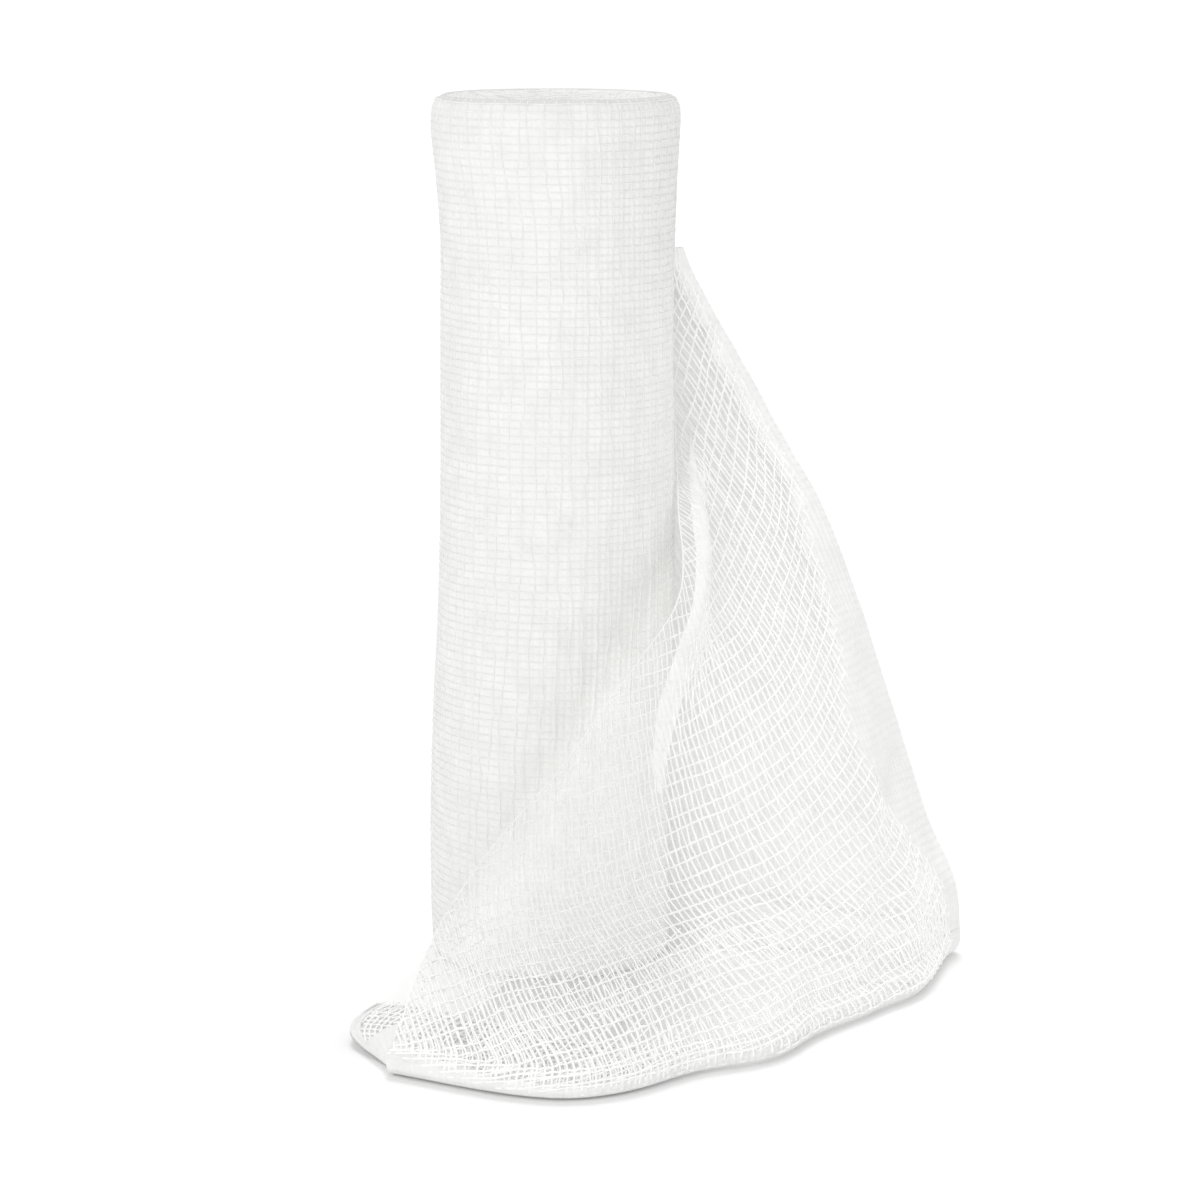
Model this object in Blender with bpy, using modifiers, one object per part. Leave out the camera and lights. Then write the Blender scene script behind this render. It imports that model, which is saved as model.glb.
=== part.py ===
"""A roll of open-weave gauze bandage, standing on its end with its loose end hanging down its right side.

Metres, +Z up, front towards -Y. The origin is on the floor at the middle of the roll's foot. The roll is
one wound solid. The loose end is one sheet in two plies: it leaves the roll at the back, turns forward
along a soft fold on the right, comes round the front as a skirt, and is turned under on the floor.
"""

import math

import bmesh
import bpy
from mathutils import Vector

MM = 0.001
MERGE_DISTANCE = 0.0001

# The roll, in millimetres and degrees
BANDAGE_WIDTH = 152.4
ROLL_SIDES = 64
WINDING_STEP = 0.5
WINDING_STEP_ANGLE = 100.0
WINDING_STEP_SPREAD = 10.0
END_DISH = 1.2
END_RINGS = (0.72, 0.42, 0.14)

# The roll's outline, foot to top: how far up, its radius there and how far its middle leans to the right
ROLL_OUTLINE = (
    # height, radius, lean
    (0.0, 20.4, -1.0),
    (0.6, 21.1, -1.0),
    (2.0, 21.6, -1.0),
    (9.0, 21.8, -1.1),
    (27.0, 21.8, -1.0),
    (46.0, 21.6, -0.5),
    (64.0, 21.2, 0.1),
    (82.0, 21.0, 0.4),
    (100.0, 20.8, 0.6),
    (117.0, 20.7, 0.7),
    (128.0, 20.8, 0.7),
    (138.0, 21.3, 0.4),
    (146.0, 21.9, 0.1),
    (150.0, 21.9, 0.1),
    (151.8, 21.2, 0.1),
    (152.4, 20.0, 0.1),
)

# The soft unevenness of the winding, as waves round the roll that twist as they rise
LUMPS = (
    # depth, waves round, turn for each millimetre of height, start
    (0.18, 3.0, 0.045, 0.0),
    (0.126, 5.0, -0.08, 1.3),
)

# The loose end, in millimetres
CLOTH_THICKNESS = 1.2
BACK_SWELL = 0.06
ROLL_CLEARANCE = 1.0
CLEARANCE_RUN = 16.0
SEAT_GAP = 0.36
SEAT_ARC = 9.0
SEAT_OPENING = 1.5
TOUCH_LIMIT = 0.97

# Each level of the loose end, from the point where it leaves the roll down to the floor. The edge is the
# free edge that crosses the roll's front, the nose and the valley are the two turns of the fold beside it,
# and the front and side values say how far the cloth swells between them. The fold is the soft turn on the
# right.
LEVELS = (
    # height, edge x, edge y, front, nose x, nose y, valley x, valley y, side, fold x, fold y, fold radius
    (124.6, 21.0, 7.6, 0.0, 21.3, 8.8, 21.6, 10.0, 0.0, 22.3, 15.0, 1.7),
    (116.0, 21.0, 9.0, 0.0, 22.2, 9.8, 23.4, 10.6, 0.0, 26.3, 14.4, 1.8),
    (104.0, 21.2, 10.2, 0.0, 23.2, 10.2, 26.0, 10.4, 0.4, 33.0, 13.8, 2.0),
    (94.0, 21.9, 9.2, 0.0, 24.4, 8.6, 28.2, 9.2, 1.2, 38.4, 13.0, 2.2),
    (87.0, 22.5, 3.0, 0.0, 25.2, 2.4, 27.9, 6.0, 2.0, 42.5, 12.6, 2.6),
    (81.0, 22.5, -5.6, 0.0, 26.2, -5.2, 27.0, 2.6, 2.8, 46.1, 12.0, 3.0),
    (73.0, 22.4, -13.4, 0.3, 27.0, -12.0, 26.8, -2.4, 3.4, 49.6, 11.0, 3.4),
    (66.0, 20.8, -18.4, 1.0, 26.0, -17.0, 27.2, -7.5, 3.8, 52.2, 10.0, 3.7),
    (59.0, 15.2, -24.8, 1.6, 23.6, -23.0, 28.4, -14.0, 4.0, 54.8, 9.0, 4.0),
    (50.0, 8.2, -28.0, 3.0, 20.8, -28.0, 29.8, -21.0, 4.2, 57.6, 7.6, 4.2),
    (41.0, 1.4, -31.0, 5.0, 19.8, -33.0, 31.8, -27.0, 4.2, 60.6, 6.0, 4.4),
    (30.0, -8.7, -35.5, 8.0, 20.6, -41.0, 35.0, -34.0, 4.2, 63.9, 3.8, 4.6),
    (20.0, -17.0, -43.0, 11.0, 23.4, -51.4, 38.6, -41.6, 4.2, 66.8, 1.4, 4.8),
    (12.0, -22.2, -56.0, 13.6, 26.4, -61.0, 42.0, -47.4, 4.2, 68.9, -0.8, 5.0),
    (5.0, -25.3, -74.0, 15.0, 29.0, -69.6, 45.0, -50.4, 4.2, 69.4, -2.8, 5.0),
)

# How many strips of the sheet lie between one station of a level and the next, free edge to seat
STATION_STRIPS = (6, 6, 5, 7, 6, 3, 3, 6, 5, 4)
FOLD_STATION = 6
FOLD_DEPTH = 0.9
SLOPE_STEP = 0.01

# The turned-under hem: its rows, and how far it runs in along the floor before the back ply ends it
ROWS_ABOVE_HEM = 32
HEM_ROWS = 6
LIP_ROWS = 6
LIP_LENGTH = 15.0
LIP_FADES = (0.80, 0.92)
HEM_CENTRE = (36.0, -24.0)

# The hem's left corner runs on along the floor, bowed to the left, and lifts a little
POCKET_SHARE = 0.26
POCKET_REACH = (-5.0, 32.0)
POCKET_BOW = 5.5
POCKET_RISE = 3.4
POCKET_CORNER = 0.06
POCKET_CORNER_CUT = 0.2
BOW_SCALE = 6.75

# The main soft folds of the drape: the share of the way across at their top and foot, the heights that
# they run between, and their depth and half width. Each starts a little above its top and ends a little
# below its foot.
FOLD_LEAD = 0.2
FOLD_TAIL = 1.25
FOLD_FADE = 3.0
FOLDS = (
    # name, share at top, share at foot, top, foot, depth, half width
    ("hem ridge", 0.36, 0.26, 30.0, 4.0, 2.0, 0.035),
    ("hem hollow", 0.30, 0.19, 22.0, 3.0, -1.6, 0.035),
    ("side pucker", 0.56, 0.44, 34.0, 8.0, -1.8, 0.030),
    ("side ridge", 0.54, 0.50, 62.0, 12.0, 1.3, 0.035),
    ("upper hollow", 0.52, 0.56, 96.0, 58.0, -0.9, 0.045),
    ("front pleat", 0.16, 0.10, 34.0, 10.0, 0.9, 0.030),
    ("back drape", 0.82, 0.78, 90.0, 6.0, 1.6, 0.060),
)

COTTON_WHITE = (0.93, 0.925, 0.90, 1.0)
LOOSE_COTTON_WHITE = (0.95, 0.945, 0.93, 1.0)
COTTON_ROUGHNESS = 0.9


def clear_scene():
    for item in list(bpy.data.objects):
        bpy.data.objects.remove(item, do_unlink=True)


def cotton(name, colour):
    material = bpy.data.materials.new(name)
    material.use_nodes = True
    shader = material.node_tree.nodes["Principled BSDF"]
    shader.inputs["Base Color"].default_value = colour
    shader.inputs["Roughness"].default_value = COTTON_ROUGHNESS
    shader.inputs["Metallic"].default_value = 0.0
    return material


def smooth_step(value):
    value = min(max(value, 0.0), 1.0)
    return value * value * (3.0 - 2.0 * value)


def through(points, position):
    """A smooth curve through the points; position counts them from 0."""
    last = len(points) - 1
    index = min(int(position), last - 1)
    part = position - index
    before = points[max(index - 1, 0)]
    start = points[index]
    end = points[index + 1]
    after = points[min(index + 2, last)]
    curve = []
    for a, b, c, d in zip(before, start, end, after):
        bend = 2.0 * a - 5.0 * b + 4.0 * c - d
        twist = 3.0 * (b - c) + d - a
        curve.append(b + 0.5 * part * (c - a + part * (bend + part * twist)))
    return curve


def row_at(table, height):
    """The table's row at any height, between its own rows."""
    rising = table[-1][0] > table[0][0]
    for index in range(len(table) - 1):
        low, high = table[index][0], table[index + 1][0]
        inside = low <= height <= high if rising else high <= height <= low
        if inside:
            return through(table, index + (height - low) / (high - low))
    top_first = (height > table[0][0]) != rising
    return list(table[0] if top_first else table[-1])


def lumps(angle, height):
    waves = [depth * math.sin(count * angle + turn * height + start) for depth, count, turn, start in LUMPS]
    return sum(waves)


def winding(angle):
    """The outer turn rises by one step where it leaves the roll."""
    turned = (math.degrees(angle) - WINDING_STEP_ANGLE) % 360.0
    ramp = WINDING_STEP * (1.0 - turned / 360.0)
    lip = 1.0 - smooth_step(turned / WINDING_STEP_SPREAD)
    return ramp * (1.0 - lip)


def roll_radius(angle, height):
    radius = row_at(ROLL_OUTLINE, height)[1]
    return radius + lumps(angle, height) + winding(angle) - WINDING_STEP


def roll_lean(height):
    return row_at(ROLL_OUTLINE, height)[2]


def off_the_roll(x, y, height, gap):
    """Moves a point of the cloth out until it clears the roll by the gap."""
    lean = roll_lean(height)
    angle = math.atan2(y, x - lean)
    distance = math.hypot(x - lean, y)
    least = roll_radius(angle, height) + gap + CLOTH_THICKNESS / 2.0
    if distance >= least:
        return x, y
    return lean + least * math.cos(angle), least * math.sin(angle)


def seat_angles(fold, height):
    """Where the cloth's back ply meets the roll, and where it ends on it, as angles round the roll."""
    fold_x = fold[0] - roll_lean(height)
    mean = row_at(ROLL_OUTLINE, height)[1] + SEAT_GAP + CLOTH_THICKNESS / 2.0
    reach = min(mean / math.hypot(fold_x, fold[1]), TOUCH_LIMIT)
    touch = math.atan2(fold[1], fold_x) + math.acos(reach)
    return touch, touch + SEAT_ARC / mean


def on_the_roll(angle, height):
    radius = roll_radius(angle, height) + SEAT_GAP + CLOTH_THICKNESS / 2.0
    return roll_lean(height) + radius * math.cos(angle), radius * math.sin(angle)


def unit(start, end):
    length = math.dist(start, end)
    return (end[0] - start[0]) / length, (end[1] - start[1]) / length


def fold_sides(fold, radius, before, after):
    """The two points beside the fold, where its plies begin."""
    to_before = unit(fold, before)
    to_after = unit(fold, after)
    inward = unit((0.0, 0.0), (to_before[0] + to_after[0], to_before[1] + to_after[1]))
    across = (-inward[1], inward[0])
    if across[0] * to_after[0] + across[1] * to_after[1] < 0.0:
        across = (inward[1], -inward[0])
    lean_in = inward[0] * to_after[0] + inward[1] * to_after[1]
    depth = FOLD_DEPTH * radius
    apart = max(radius, depth * math.sqrt(1.0 - lean_in * lean_in) / lean_in)
    middle = (fold[0] + depth * inward[0], fold[1] + depth * inward[1])
    near = (middle[0] - apart * across[0], middle[1] - apart * across[1])
    far = (middle[0] + apart * across[0], middle[1] + apart * across[1])
    return near, far


def swell(start, end, out):
    """The middle of a stretch of cloth, pushed out from its chord."""
    chord = (end[0] - start[0], end[1] - start[1])
    length = math.hypot(*chord)
    middle = ((start[0] + end[0]) / 2.0, (start[1] + end[1]) / 2.0)
    return middle[0] + out * chord[1] / length, middle[1] - out * chord[0] / length


def stations(height):
    """The places that one level of the sheet goes through, from its free edge to its seat on the roll."""
    row = row_at(LEVELS, height)
    _, edge_x, edge_y, front, nose_x, nose_y, valley_x, valley_y, side, fold_x, fold_y, radius = row
    edge = (edge_x, edge_y)
    nose = (nose_x, nose_y)
    valley = (valley_x, valley_y)
    fold = (fold_x, fold_y)
    touch = on_the_roll(seat_angles(fold, height)[0], height)
    near_fold, far_fold = fold_sides(fold, radius, swell(valley, fold, side), touch)
    return [
        edge,
        swell(edge, nose, front),
        nose,
        valley,
        swell(valley, near_fold, side),
        near_fold,
        fold,
        far_fold,
        swell(far_fold, touch, BACK_SWELL * math.dist(far_fold, touch)),
        touch,
    ]


def station_position(share):
    """Turns a share of the way across the sheet into a place among the stations."""
    strip = share * sum(STATION_STRIPS)
    for index, strips in enumerate(STATION_STRIPS):
        if strip <= strips:
            return index + strip / strips
        strip -= strips
    return float(len(STATION_STRIPS))


def fold_relief(share, height):
    """How far the main folds lift the cloth off its smooth form."""
    lift = 0.0
    for _, top_share, foot_share, top, foot, depth, half_width in FOLDS:
        along = (top - height) / (top - foot)
        middle = top_share + (foot_share - top_share) * along
        across = (share - middle) / half_width
        starts = smooth_step((along + FOLD_LEAD) * FOLD_FADE)
        ends = smooth_step((FOLD_TAIL - along) * FOLD_FADE)
        lift += depth * starts * ends * math.exp(-across * across)
    return lift


def level_point(share, height):
    """A point of the hanging cloth."""
    places = stations(height)
    position = station_position(share)
    seat = len(places) - 1.0
    if position >= seat:
        touch, end = seat_angles(places[FOLD_STATION], height)
        return on_the_roll(touch + (position - seat) * (end - touch), height)
    x, y = through(places, position)
    x_on, y_on = through(places, min(position + SLOPE_STEP, seat))
    x_off, y_off = through(places, max(position - SLOPE_STEP, 0.0))
    length = math.hypot(x_on - x_off, y_on - y_off)
    lift = fold_relief(share, height)
    x += lift * (y_on - y_off) / length
    y -= lift * (x_on - x_off) / length
    from_seat = min((seat - position) * SEAT_OPENING, (LEVELS[0][0] - height) / CLEARANCE_RUN)
    gap = SEAT_GAP + (ROLL_CLEARANCE - SEAT_GAP) * smooth_step(from_seat)
    return off_the_roll(x, y, height, gap)


def lip_offset(x, y, share, along):
    """How far the turned-under cloth has run along the floor: to the drape's middle, or into the corner."""
    to_centre = Vector((HEM_CENTRE[0] - x, HEM_CENTRE[1] - y)).normalized() * LIP_LENGTH
    corner = max(1.0 - share / POCKET_CORNER, 0.0)
    to_pocket = Vector(POCKET_REACH) * (1.0 - POCKET_CORNER_CUT * corner * corner)
    # The bow starts slowly and is one POCKET_BOW deep where it is deepest, two thirds of the way along
    depth = POCKET_BOW * BOW_SCALE * along * along * (1.0 - along)
    bow = Vector((-to_pocket.y, to_pocket.x)).normalized() * depth
    pocket = 1.0 - smooth_step(share / POCKET_SHARE)
    return to_centre.lerp(to_pocket, pocket) * along + bow * pocket


def outward_at(share, height):
    """The way that the cloth faces at one place of a level."""
    x_on, y_on = level_point(min(share + SLOPE_STEP, 1.0), height)
    x_off, y_off = level_point(max(share - SLOPE_STEP, 0.0), height)
    return Vector((y_on - y_off, x_off - x_on)).normalized()


def hem_point(share, row):
    """A point of the hem, in rows from the lowest hanging level: it turns under, then lies on the floor."""
    floor_height = CLOTH_THICKNESS / 2.0
    hem_top = LEVELS[-1][0]
    radius = (hem_top - floor_height) / 2.0
    x, y = level_point(share, hem_top)
    turn = math.pi * min(row / HEM_ROWS, 1.0)
    along = max((row - HEM_ROWS) / LIP_ROWS, 0.0)
    pocket = 1.0 - smooth_step(share / POCKET_SHARE)
    offset = outward_at(share, hem_top) * radius * math.sin(turn) + lip_offset(x, y, share, along)
    height = floor_height + radius * (1.0 + math.cos(turn)) + POCKET_RISE * pocket * along * along

    # The back ply has no turn: it runs straight down to the floor
    straight = hem_top + (floor_height - hem_top) * row / (HEM_ROWS + LIP_ROWS)
    fade = smooth_step((share - LIP_FADES[0]) / (LIP_FADES[1] - LIP_FADES[0]))
    height += (straight - height) * fade
    x += offset.x * (1.0 - fade)
    y += offset.y * (1.0 - fade)
    if fade == 0.0:
        x, y = off_the_roll(x, y, height, ROLL_CLEARANCE)
    return x, y, height


def sheet_point(share, row):
    """A point of the sheet, counted in rows from its top."""
    if row > ROWS_ABOVE_HEM:
        return hem_point(share, row - ROWS_ABOVE_HEM)
    height = LEVELS[0][0] + (LEVELS[-1][0] - LEVELS[0][0]) * row / ROWS_ABOVE_HEM
    x, y = level_point(share, height)
    return x, y, height


def mesh_object(name, shape, material, collection):
    mesh = bpy.data.meshes.new(name)
    shape.to_mesh(mesh)
    shape.free()
    mesh.materials.append(material)
    mesh.shade_smooth()
    item = bpy.data.objects.new(name, mesh)
    collection.objects.link(item)
    return item


def apply_modifiers(item):
    bpy.context.view_layer.update()
    graph = bpy.context.evaluated_depsgraph_get()
    solid = bpy.data.meshes.new_from_object(item.evaluated_get(graph))
    item.modifiers.clear()
    item.data = solid


def settle_roll_point(place):
    """Gives a point of the plain turned form the winding's step, lumps and lean, and dishes the top end."""
    height = place.z / MM
    angle = math.atan2(place.y, place.x)
    share = math.hypot(place.x, place.y) / MM / row_at(ROLL_OUTLINE, height)[1]
    radius = share * roll_radius(angle, height)
    lean = roll_lean(height)
    on_top = height > ROLL_OUTLINE[-2][0]
    if on_top:
        height -= END_DISH * (1.0 - share * share)
    place.x = (lean + radius * math.cos(angle)) * MM
    place.y = radius * math.sin(angle) * MM
    place.z = height * MM


def make_wound_roll(collection):
    """The roll's outline turned once round, then made as uneven as hand-wound gauze is."""
    profile = [(0.0, 0.0)]
    profile += [(share * ROLL_OUTLINE[0][1], 0.0) for share in reversed(END_RINGS)]
    profile += [(radius, height) for height, radius, _ in ROLL_OUTLINE]
    profile += [(share * ROLL_OUTLINE[-1][1], BANDAGE_WIDTH) for share in END_RINGS]
    profile += [(0.0, BANDAGE_WIDTH)]
    shape = bmesh.new()
    points = [shape.verts.new((radius * MM, 0.0, height * MM)) for radius, height in profile]
    for pair in zip(points, points[1:]):
        shape.edges.new(pair)
    item = mesh_object("wound_roll", shape, cotton("wound_cotton_gauze", COTTON_WHITE), collection)

    turn = item.modifiers.new("one turn", "SCREW")
    turn.steps = ROLL_SIDES
    turn.render_steps = ROLL_SIDES
    turn.use_merge_vertices = True
    turn.merge_threshold = MERGE_DISTANCE
    turn.use_normal_calculate = True
    apply_modifiers(item)
    for point in item.data.vertices:
        settle_roll_point(point.co)
    return item


def make_loose_end(collection):
    """A flat grid laid on the drape, thickened, and pressed flat where it lies on the floor."""
    strips = sum(STATION_STRIPS)
    rows = ROWS_ABOVE_HEM + HEM_ROWS + LIP_ROWS
    shape = bmesh.new()
    bmesh.ops.create_grid(shape, x_segments=strips, y_segments=rows, size=1.0)
    for point in shape.verts:
        share = (point.co.x + 1.0) / 2.0
        row = round((1.0 - point.co.y) / 2.0 * rows)
        point.co = Vector(sheet_point(share, row)) * MM
    item = mesh_object("loose_end", shape, cotton("loose_cotton_gauze", LOOSE_COTTON_WHITE), collection)

    thicken = item.modifiers.new("cloth thickness", "SOLIDIFY")
    thicken.thickness = CLOTH_THICKNESS * MM
    thicken.offset = 0.0
    apply_modifiers(item)
    for point in item.data.vertices:
        point.co.z = max(point.co.z, 0.0)
    return item


def main():
    clear_scene()
    collection = bpy.data.collections.new("gauze_bandage_roll")
    bpy.context.scene.collection.children.link(collection)
    make_wound_roll(collection)
    make_loose_end(collection)


main()
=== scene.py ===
"""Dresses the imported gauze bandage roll: the wound roll, the threads of its outer turn, and its loose end
thread by thread, with the floor, the light and the camera.

Laid out as a Blender add-on and run as a script. Sizes in the tables are in millimetres, and everything in
the scene is in metres, +Z up, with the front towards -Y.
"""

import bisect
import functools
import math
import random

import bpy
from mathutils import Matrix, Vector, noise


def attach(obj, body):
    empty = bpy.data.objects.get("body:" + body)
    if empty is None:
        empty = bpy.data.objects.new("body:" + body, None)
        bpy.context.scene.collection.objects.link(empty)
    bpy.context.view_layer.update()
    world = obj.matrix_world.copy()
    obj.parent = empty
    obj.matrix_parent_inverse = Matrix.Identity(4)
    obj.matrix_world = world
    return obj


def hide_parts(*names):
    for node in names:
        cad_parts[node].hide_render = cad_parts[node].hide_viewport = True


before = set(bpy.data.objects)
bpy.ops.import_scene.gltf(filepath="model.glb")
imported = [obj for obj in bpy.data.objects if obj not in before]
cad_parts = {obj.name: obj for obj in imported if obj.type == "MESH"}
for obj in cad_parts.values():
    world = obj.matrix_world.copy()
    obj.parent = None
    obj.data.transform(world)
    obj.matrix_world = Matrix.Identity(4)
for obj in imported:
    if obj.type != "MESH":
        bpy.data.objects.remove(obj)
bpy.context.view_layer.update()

bl_info = {
    "name": "Gauze bandage roll",
    "version": (1, 0, 0),
    "blender": (4, 5, 0),
    "location": "View3D > Sidebar > Gauze roll",
    "description": "Dresses the gauze bandage roll with threads, materials, floor, light and camera",
    "category": "Object",
}

MM = 0.001
BODY = "root"

# The photo's camera
CAMERA_PLACE = (0.0078, -0.659, 0.1873)
CAMERA_TILT = math.pi / 2.0 - 0.1855
CAMERA_LENS = 113.81
CAMERA_SENSOR = 36.0
CAMERA_CLIP = (0.01, 60.0)

# The studio: a round floor out to 15 m, even light from all round, and two wide soft lights
FLOOR_RINGS = (15.0, 5.0, 1.5, 0.4)
FLOOR_SIDES = 48
STUDIO_LIGHT = 0.68
SOFT_LIGHTS = (
    # name, the way that it comes from, spread in degrees, strength
    ("light_above", (0.0, 0.45, 0.95), 30.0, 1.1),
    ("light_front", (-0.33, -0.95, 0.3), 70.0, 0.84),
)

# The roll and the drape, with the values that the part's source has
BANDAGE_WIDTH = 152.4
WINDING_STEP = 0.5
WINDING_STEP_ANGLE = 100.0
WINDING_STEP_SPREAD = 10.0
END_DISH = 1.2

ROLL_OUTLINE = (
    # height, radius, lean
    (0.0, 20.4, -1.0),
    (0.6, 21.1, -1.0),
    (2.0, 21.6, -1.0),
    (9.0, 21.8, -1.1),
    (27.0, 21.8, -1.0),
    (46.0, 21.6, -0.5),
    (64.0, 21.2, 0.1),
    (82.0, 21.0, 0.4),
    (100.0, 20.8, 0.6),
    (117.0, 20.7, 0.7),
    (128.0, 20.8, 0.7),
    (138.0, 21.3, 0.4),
    (146.0, 21.9, 0.1),
    (150.0, 21.9, 0.1),
    (151.8, 21.2, 0.1),
    (152.4, 20.0, 0.1),
)
MEAN_RADIUS = ROLL_OUTLINE[7][1]

LUMPS = (
    # depth, waves round, turn for each millimetre of height, start
    (0.18, 3.0, 0.045, 0.0),
    (0.126, 5.0, -0.08, 1.3),
)

CLOTH_THICKNESS = 1.2
BACK_SWELL = 0.06
ROLL_CLEARANCE = 1.0
CLEARANCE_RUN = 16.0
SEAT_GAP = 0.36
SEAT_ARC = 9.0
SEAT_OPENING = 1.5
TOUCH_LIMIT = 0.97

LEVELS = (
    # height, edge x, edge y, front, nose x, nose y, valley x, valley y, side, fold x, fold y, fold radius
    (124.6, 21.0, 7.6, 0.0, 21.3, 8.8, 21.6, 10.0, 0.0, 22.3, 15.0, 1.7),
    (116.0, 21.0, 9.0, 0.0, 22.2, 9.8, 23.4, 10.6, 0.0, 26.3, 14.4, 1.8),
    (104.0, 21.2, 10.2, 0.0, 23.2, 10.2, 26.0, 10.4, 0.4, 33.0, 13.8, 2.0),
    (94.0, 21.9, 9.2, 0.0, 24.4, 8.6, 28.2, 9.2, 1.2, 38.4, 13.0, 2.2),
    (87.0, 22.5, 3.0, 0.0, 25.2, 2.4, 27.9, 6.0, 2.0, 42.5, 12.6, 2.6),
    (81.0, 22.5, -5.6, 0.0, 26.2, -5.2, 27.0, 2.6, 2.8, 46.1, 12.0, 3.0),
    (73.0, 22.4, -13.4, 0.3, 27.0, -12.0, 26.8, -2.4, 3.4, 49.6, 11.0, 3.4),
    (66.0, 20.8, -18.4, 1.0, 26.0, -17.0, 27.2, -7.5, 3.8, 52.2, 10.0, 3.7),
    (59.0, 15.2, -24.8, 1.6, 23.6, -23.0, 28.4, -14.0, 4.0, 54.8, 9.0, 4.0),
    (50.0, 8.2, -28.0, 3.0, 20.8, -28.0, 29.8, -21.0, 4.2, 57.6, 7.6, 4.2),
    (41.0, 1.4, -31.0, 5.0, 19.8, -33.0, 31.8, -27.0, 4.2, 60.6, 6.0, 4.4),
    (30.0, -8.7, -35.5, 8.0, 20.6, -41.0, 35.0, -34.0, 4.2, 63.9, 3.8, 4.6),
    (20.0, -17.0, -43.0, 11.0, 23.4, -51.4, 38.6, -41.6, 4.2, 66.8, 1.4, 4.8),
    (12.0, -22.2, -56.0, 13.6, 26.4, -61.0, 42.0, -47.4, 4.2, 68.9, -0.8, 5.0),
    (5.0, -25.3, -74.0, 15.0, 29.0, -69.6, 45.0, -50.4, 4.2, 69.4, -2.8, 5.0),
)

STATION_STRIPS = (6, 6, 5, 7, 6, 3, 3, 6, 5, 4)
FOLD_STATION = 6
FOLD_DEPTH = 0.9
SLOPE_STEP = 0.01

ROWS_ABOVE_HEM = 32
HEM_ROWS = 6
LIP_ROWS = 6
LIP_LENGTH = 15.0
LIP_FADES = (0.80, 0.92)
HEM_CENTRE = (36.0, -24.0)

POCKET_SHARE = 0.26
POCKET_REACH = (-5.0, 32.0)
POCKET_BOW = 5.5
POCKET_RISE = 3.4
POCKET_CORNER = 0.06
POCKET_CORNER_CUT = 0.2
BOW_SCALE = 6.75

FOLD_LEAD = 0.2
FOLD_TAIL = 1.25
FOLD_FADE = 3.0
FOLDS = (
    # name, share at top, share at foot, top, foot, depth, half width
    ("hem ridge", 0.36, 0.26, 30.0, 4.0, 2.0, 0.035),
    ("hem hollow", 0.30, 0.19, 22.0, 3.0, -1.6, 0.035),
    ("side pucker", 0.56, 0.44, 34.0, 8.0, -1.8, 0.030),
    ("side ridge", 0.54, 0.50, 62.0, 12.0, 1.3, 0.035),
    ("upper hollow", 0.52, 0.56, 96.0, 58.0, -0.9, 0.045),
    ("front pleat", 0.16, 0.10, 34.0, 10.0, 0.9, 0.030),
    ("back drape", 0.82, 0.78, 90.0, 6.0, 1.6, 0.060),
)

# The fold's foot stands out a little before it turns under
FLARE = 2.1
FLARE_TOP = 26.0
FLARE_RUN = 15.0
FLARE_SHARE = 0.647
FLARE_WIDTH = 0.1
FLARE_LAST_TURN = 0.5
FLARE_LEAST = 0.02

# The weave of the drape. Gauze shears as it hangs, so its threads aren't evenly spaced: each table counts the
# threads crossed on the way from the top of the fold. Its rows go across the cloth from the free edge, in
# even steps in millimetres, with the front ply below 0 and the back ply above it, and its columns go down it.
# The counts were fitted to the directions and spacings of the photo's threads.
COUNT_EDGE = -132.0
COUNT_ACROSS = 16.5
COUNT_DOWN = 20.0
CLOSE_COUNTS = (
    # the count at 0, 20, 40, 60, 80, 100, 120 and 140 mm down
    (-168.0, -155.3, -142.5, -129.4, -116.8, -106.9, -106.7, -110.6),
    (-144.5, -135.5, -126.5, -117.3, -108.0, -98.7, -93.3, -94.1),
    (-121.0, -115.6, -110.1, -104.3, -97.4, -87.2, -78.2, -79.8),
    (-97.8, -95.4, -92.7, -89.0, -83.1, -70.9, -66.8, -68.5),
    (-74.8, -74.5, -73.9, -71.5, -64.1, -55.8, -57.5, -60.2),
    (-52.3, -53.8, -54.1, -51.7, -46.6, -44.1, -48.0, -51.8),
    (-31.0, -33.7, -34.5, -33.7, -31.9, -33.9, -39.2, -42.0),
    (-12.2, -15.2, -15.4, -16.6, -18.8, -24.9, -27.7, -29.7),
    (0.0, 0.6, -0.3, -3.9, -6.6, -9.8, -12.4, -16.0),
    (13.1, 13.0, 12.3, 10.4, 8.3, 6.2, 4.4, 1.8),
    (26.7, 26.4, 25.7, 24.5, 23.1, 21.8, 20.7, 19.1),
    (40.5, 40.1, 39.6, 38.7, 37.8, 37.0, 36.3, 35.6),
    (54.4, 54.1, 53.5, 52.8, 52.1, 51.6, 51.4, 51.3),
    (67.9, 67.4, 66.8, 66.3, 65.8, 65.5, 66.0, 67.1),
)
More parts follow.
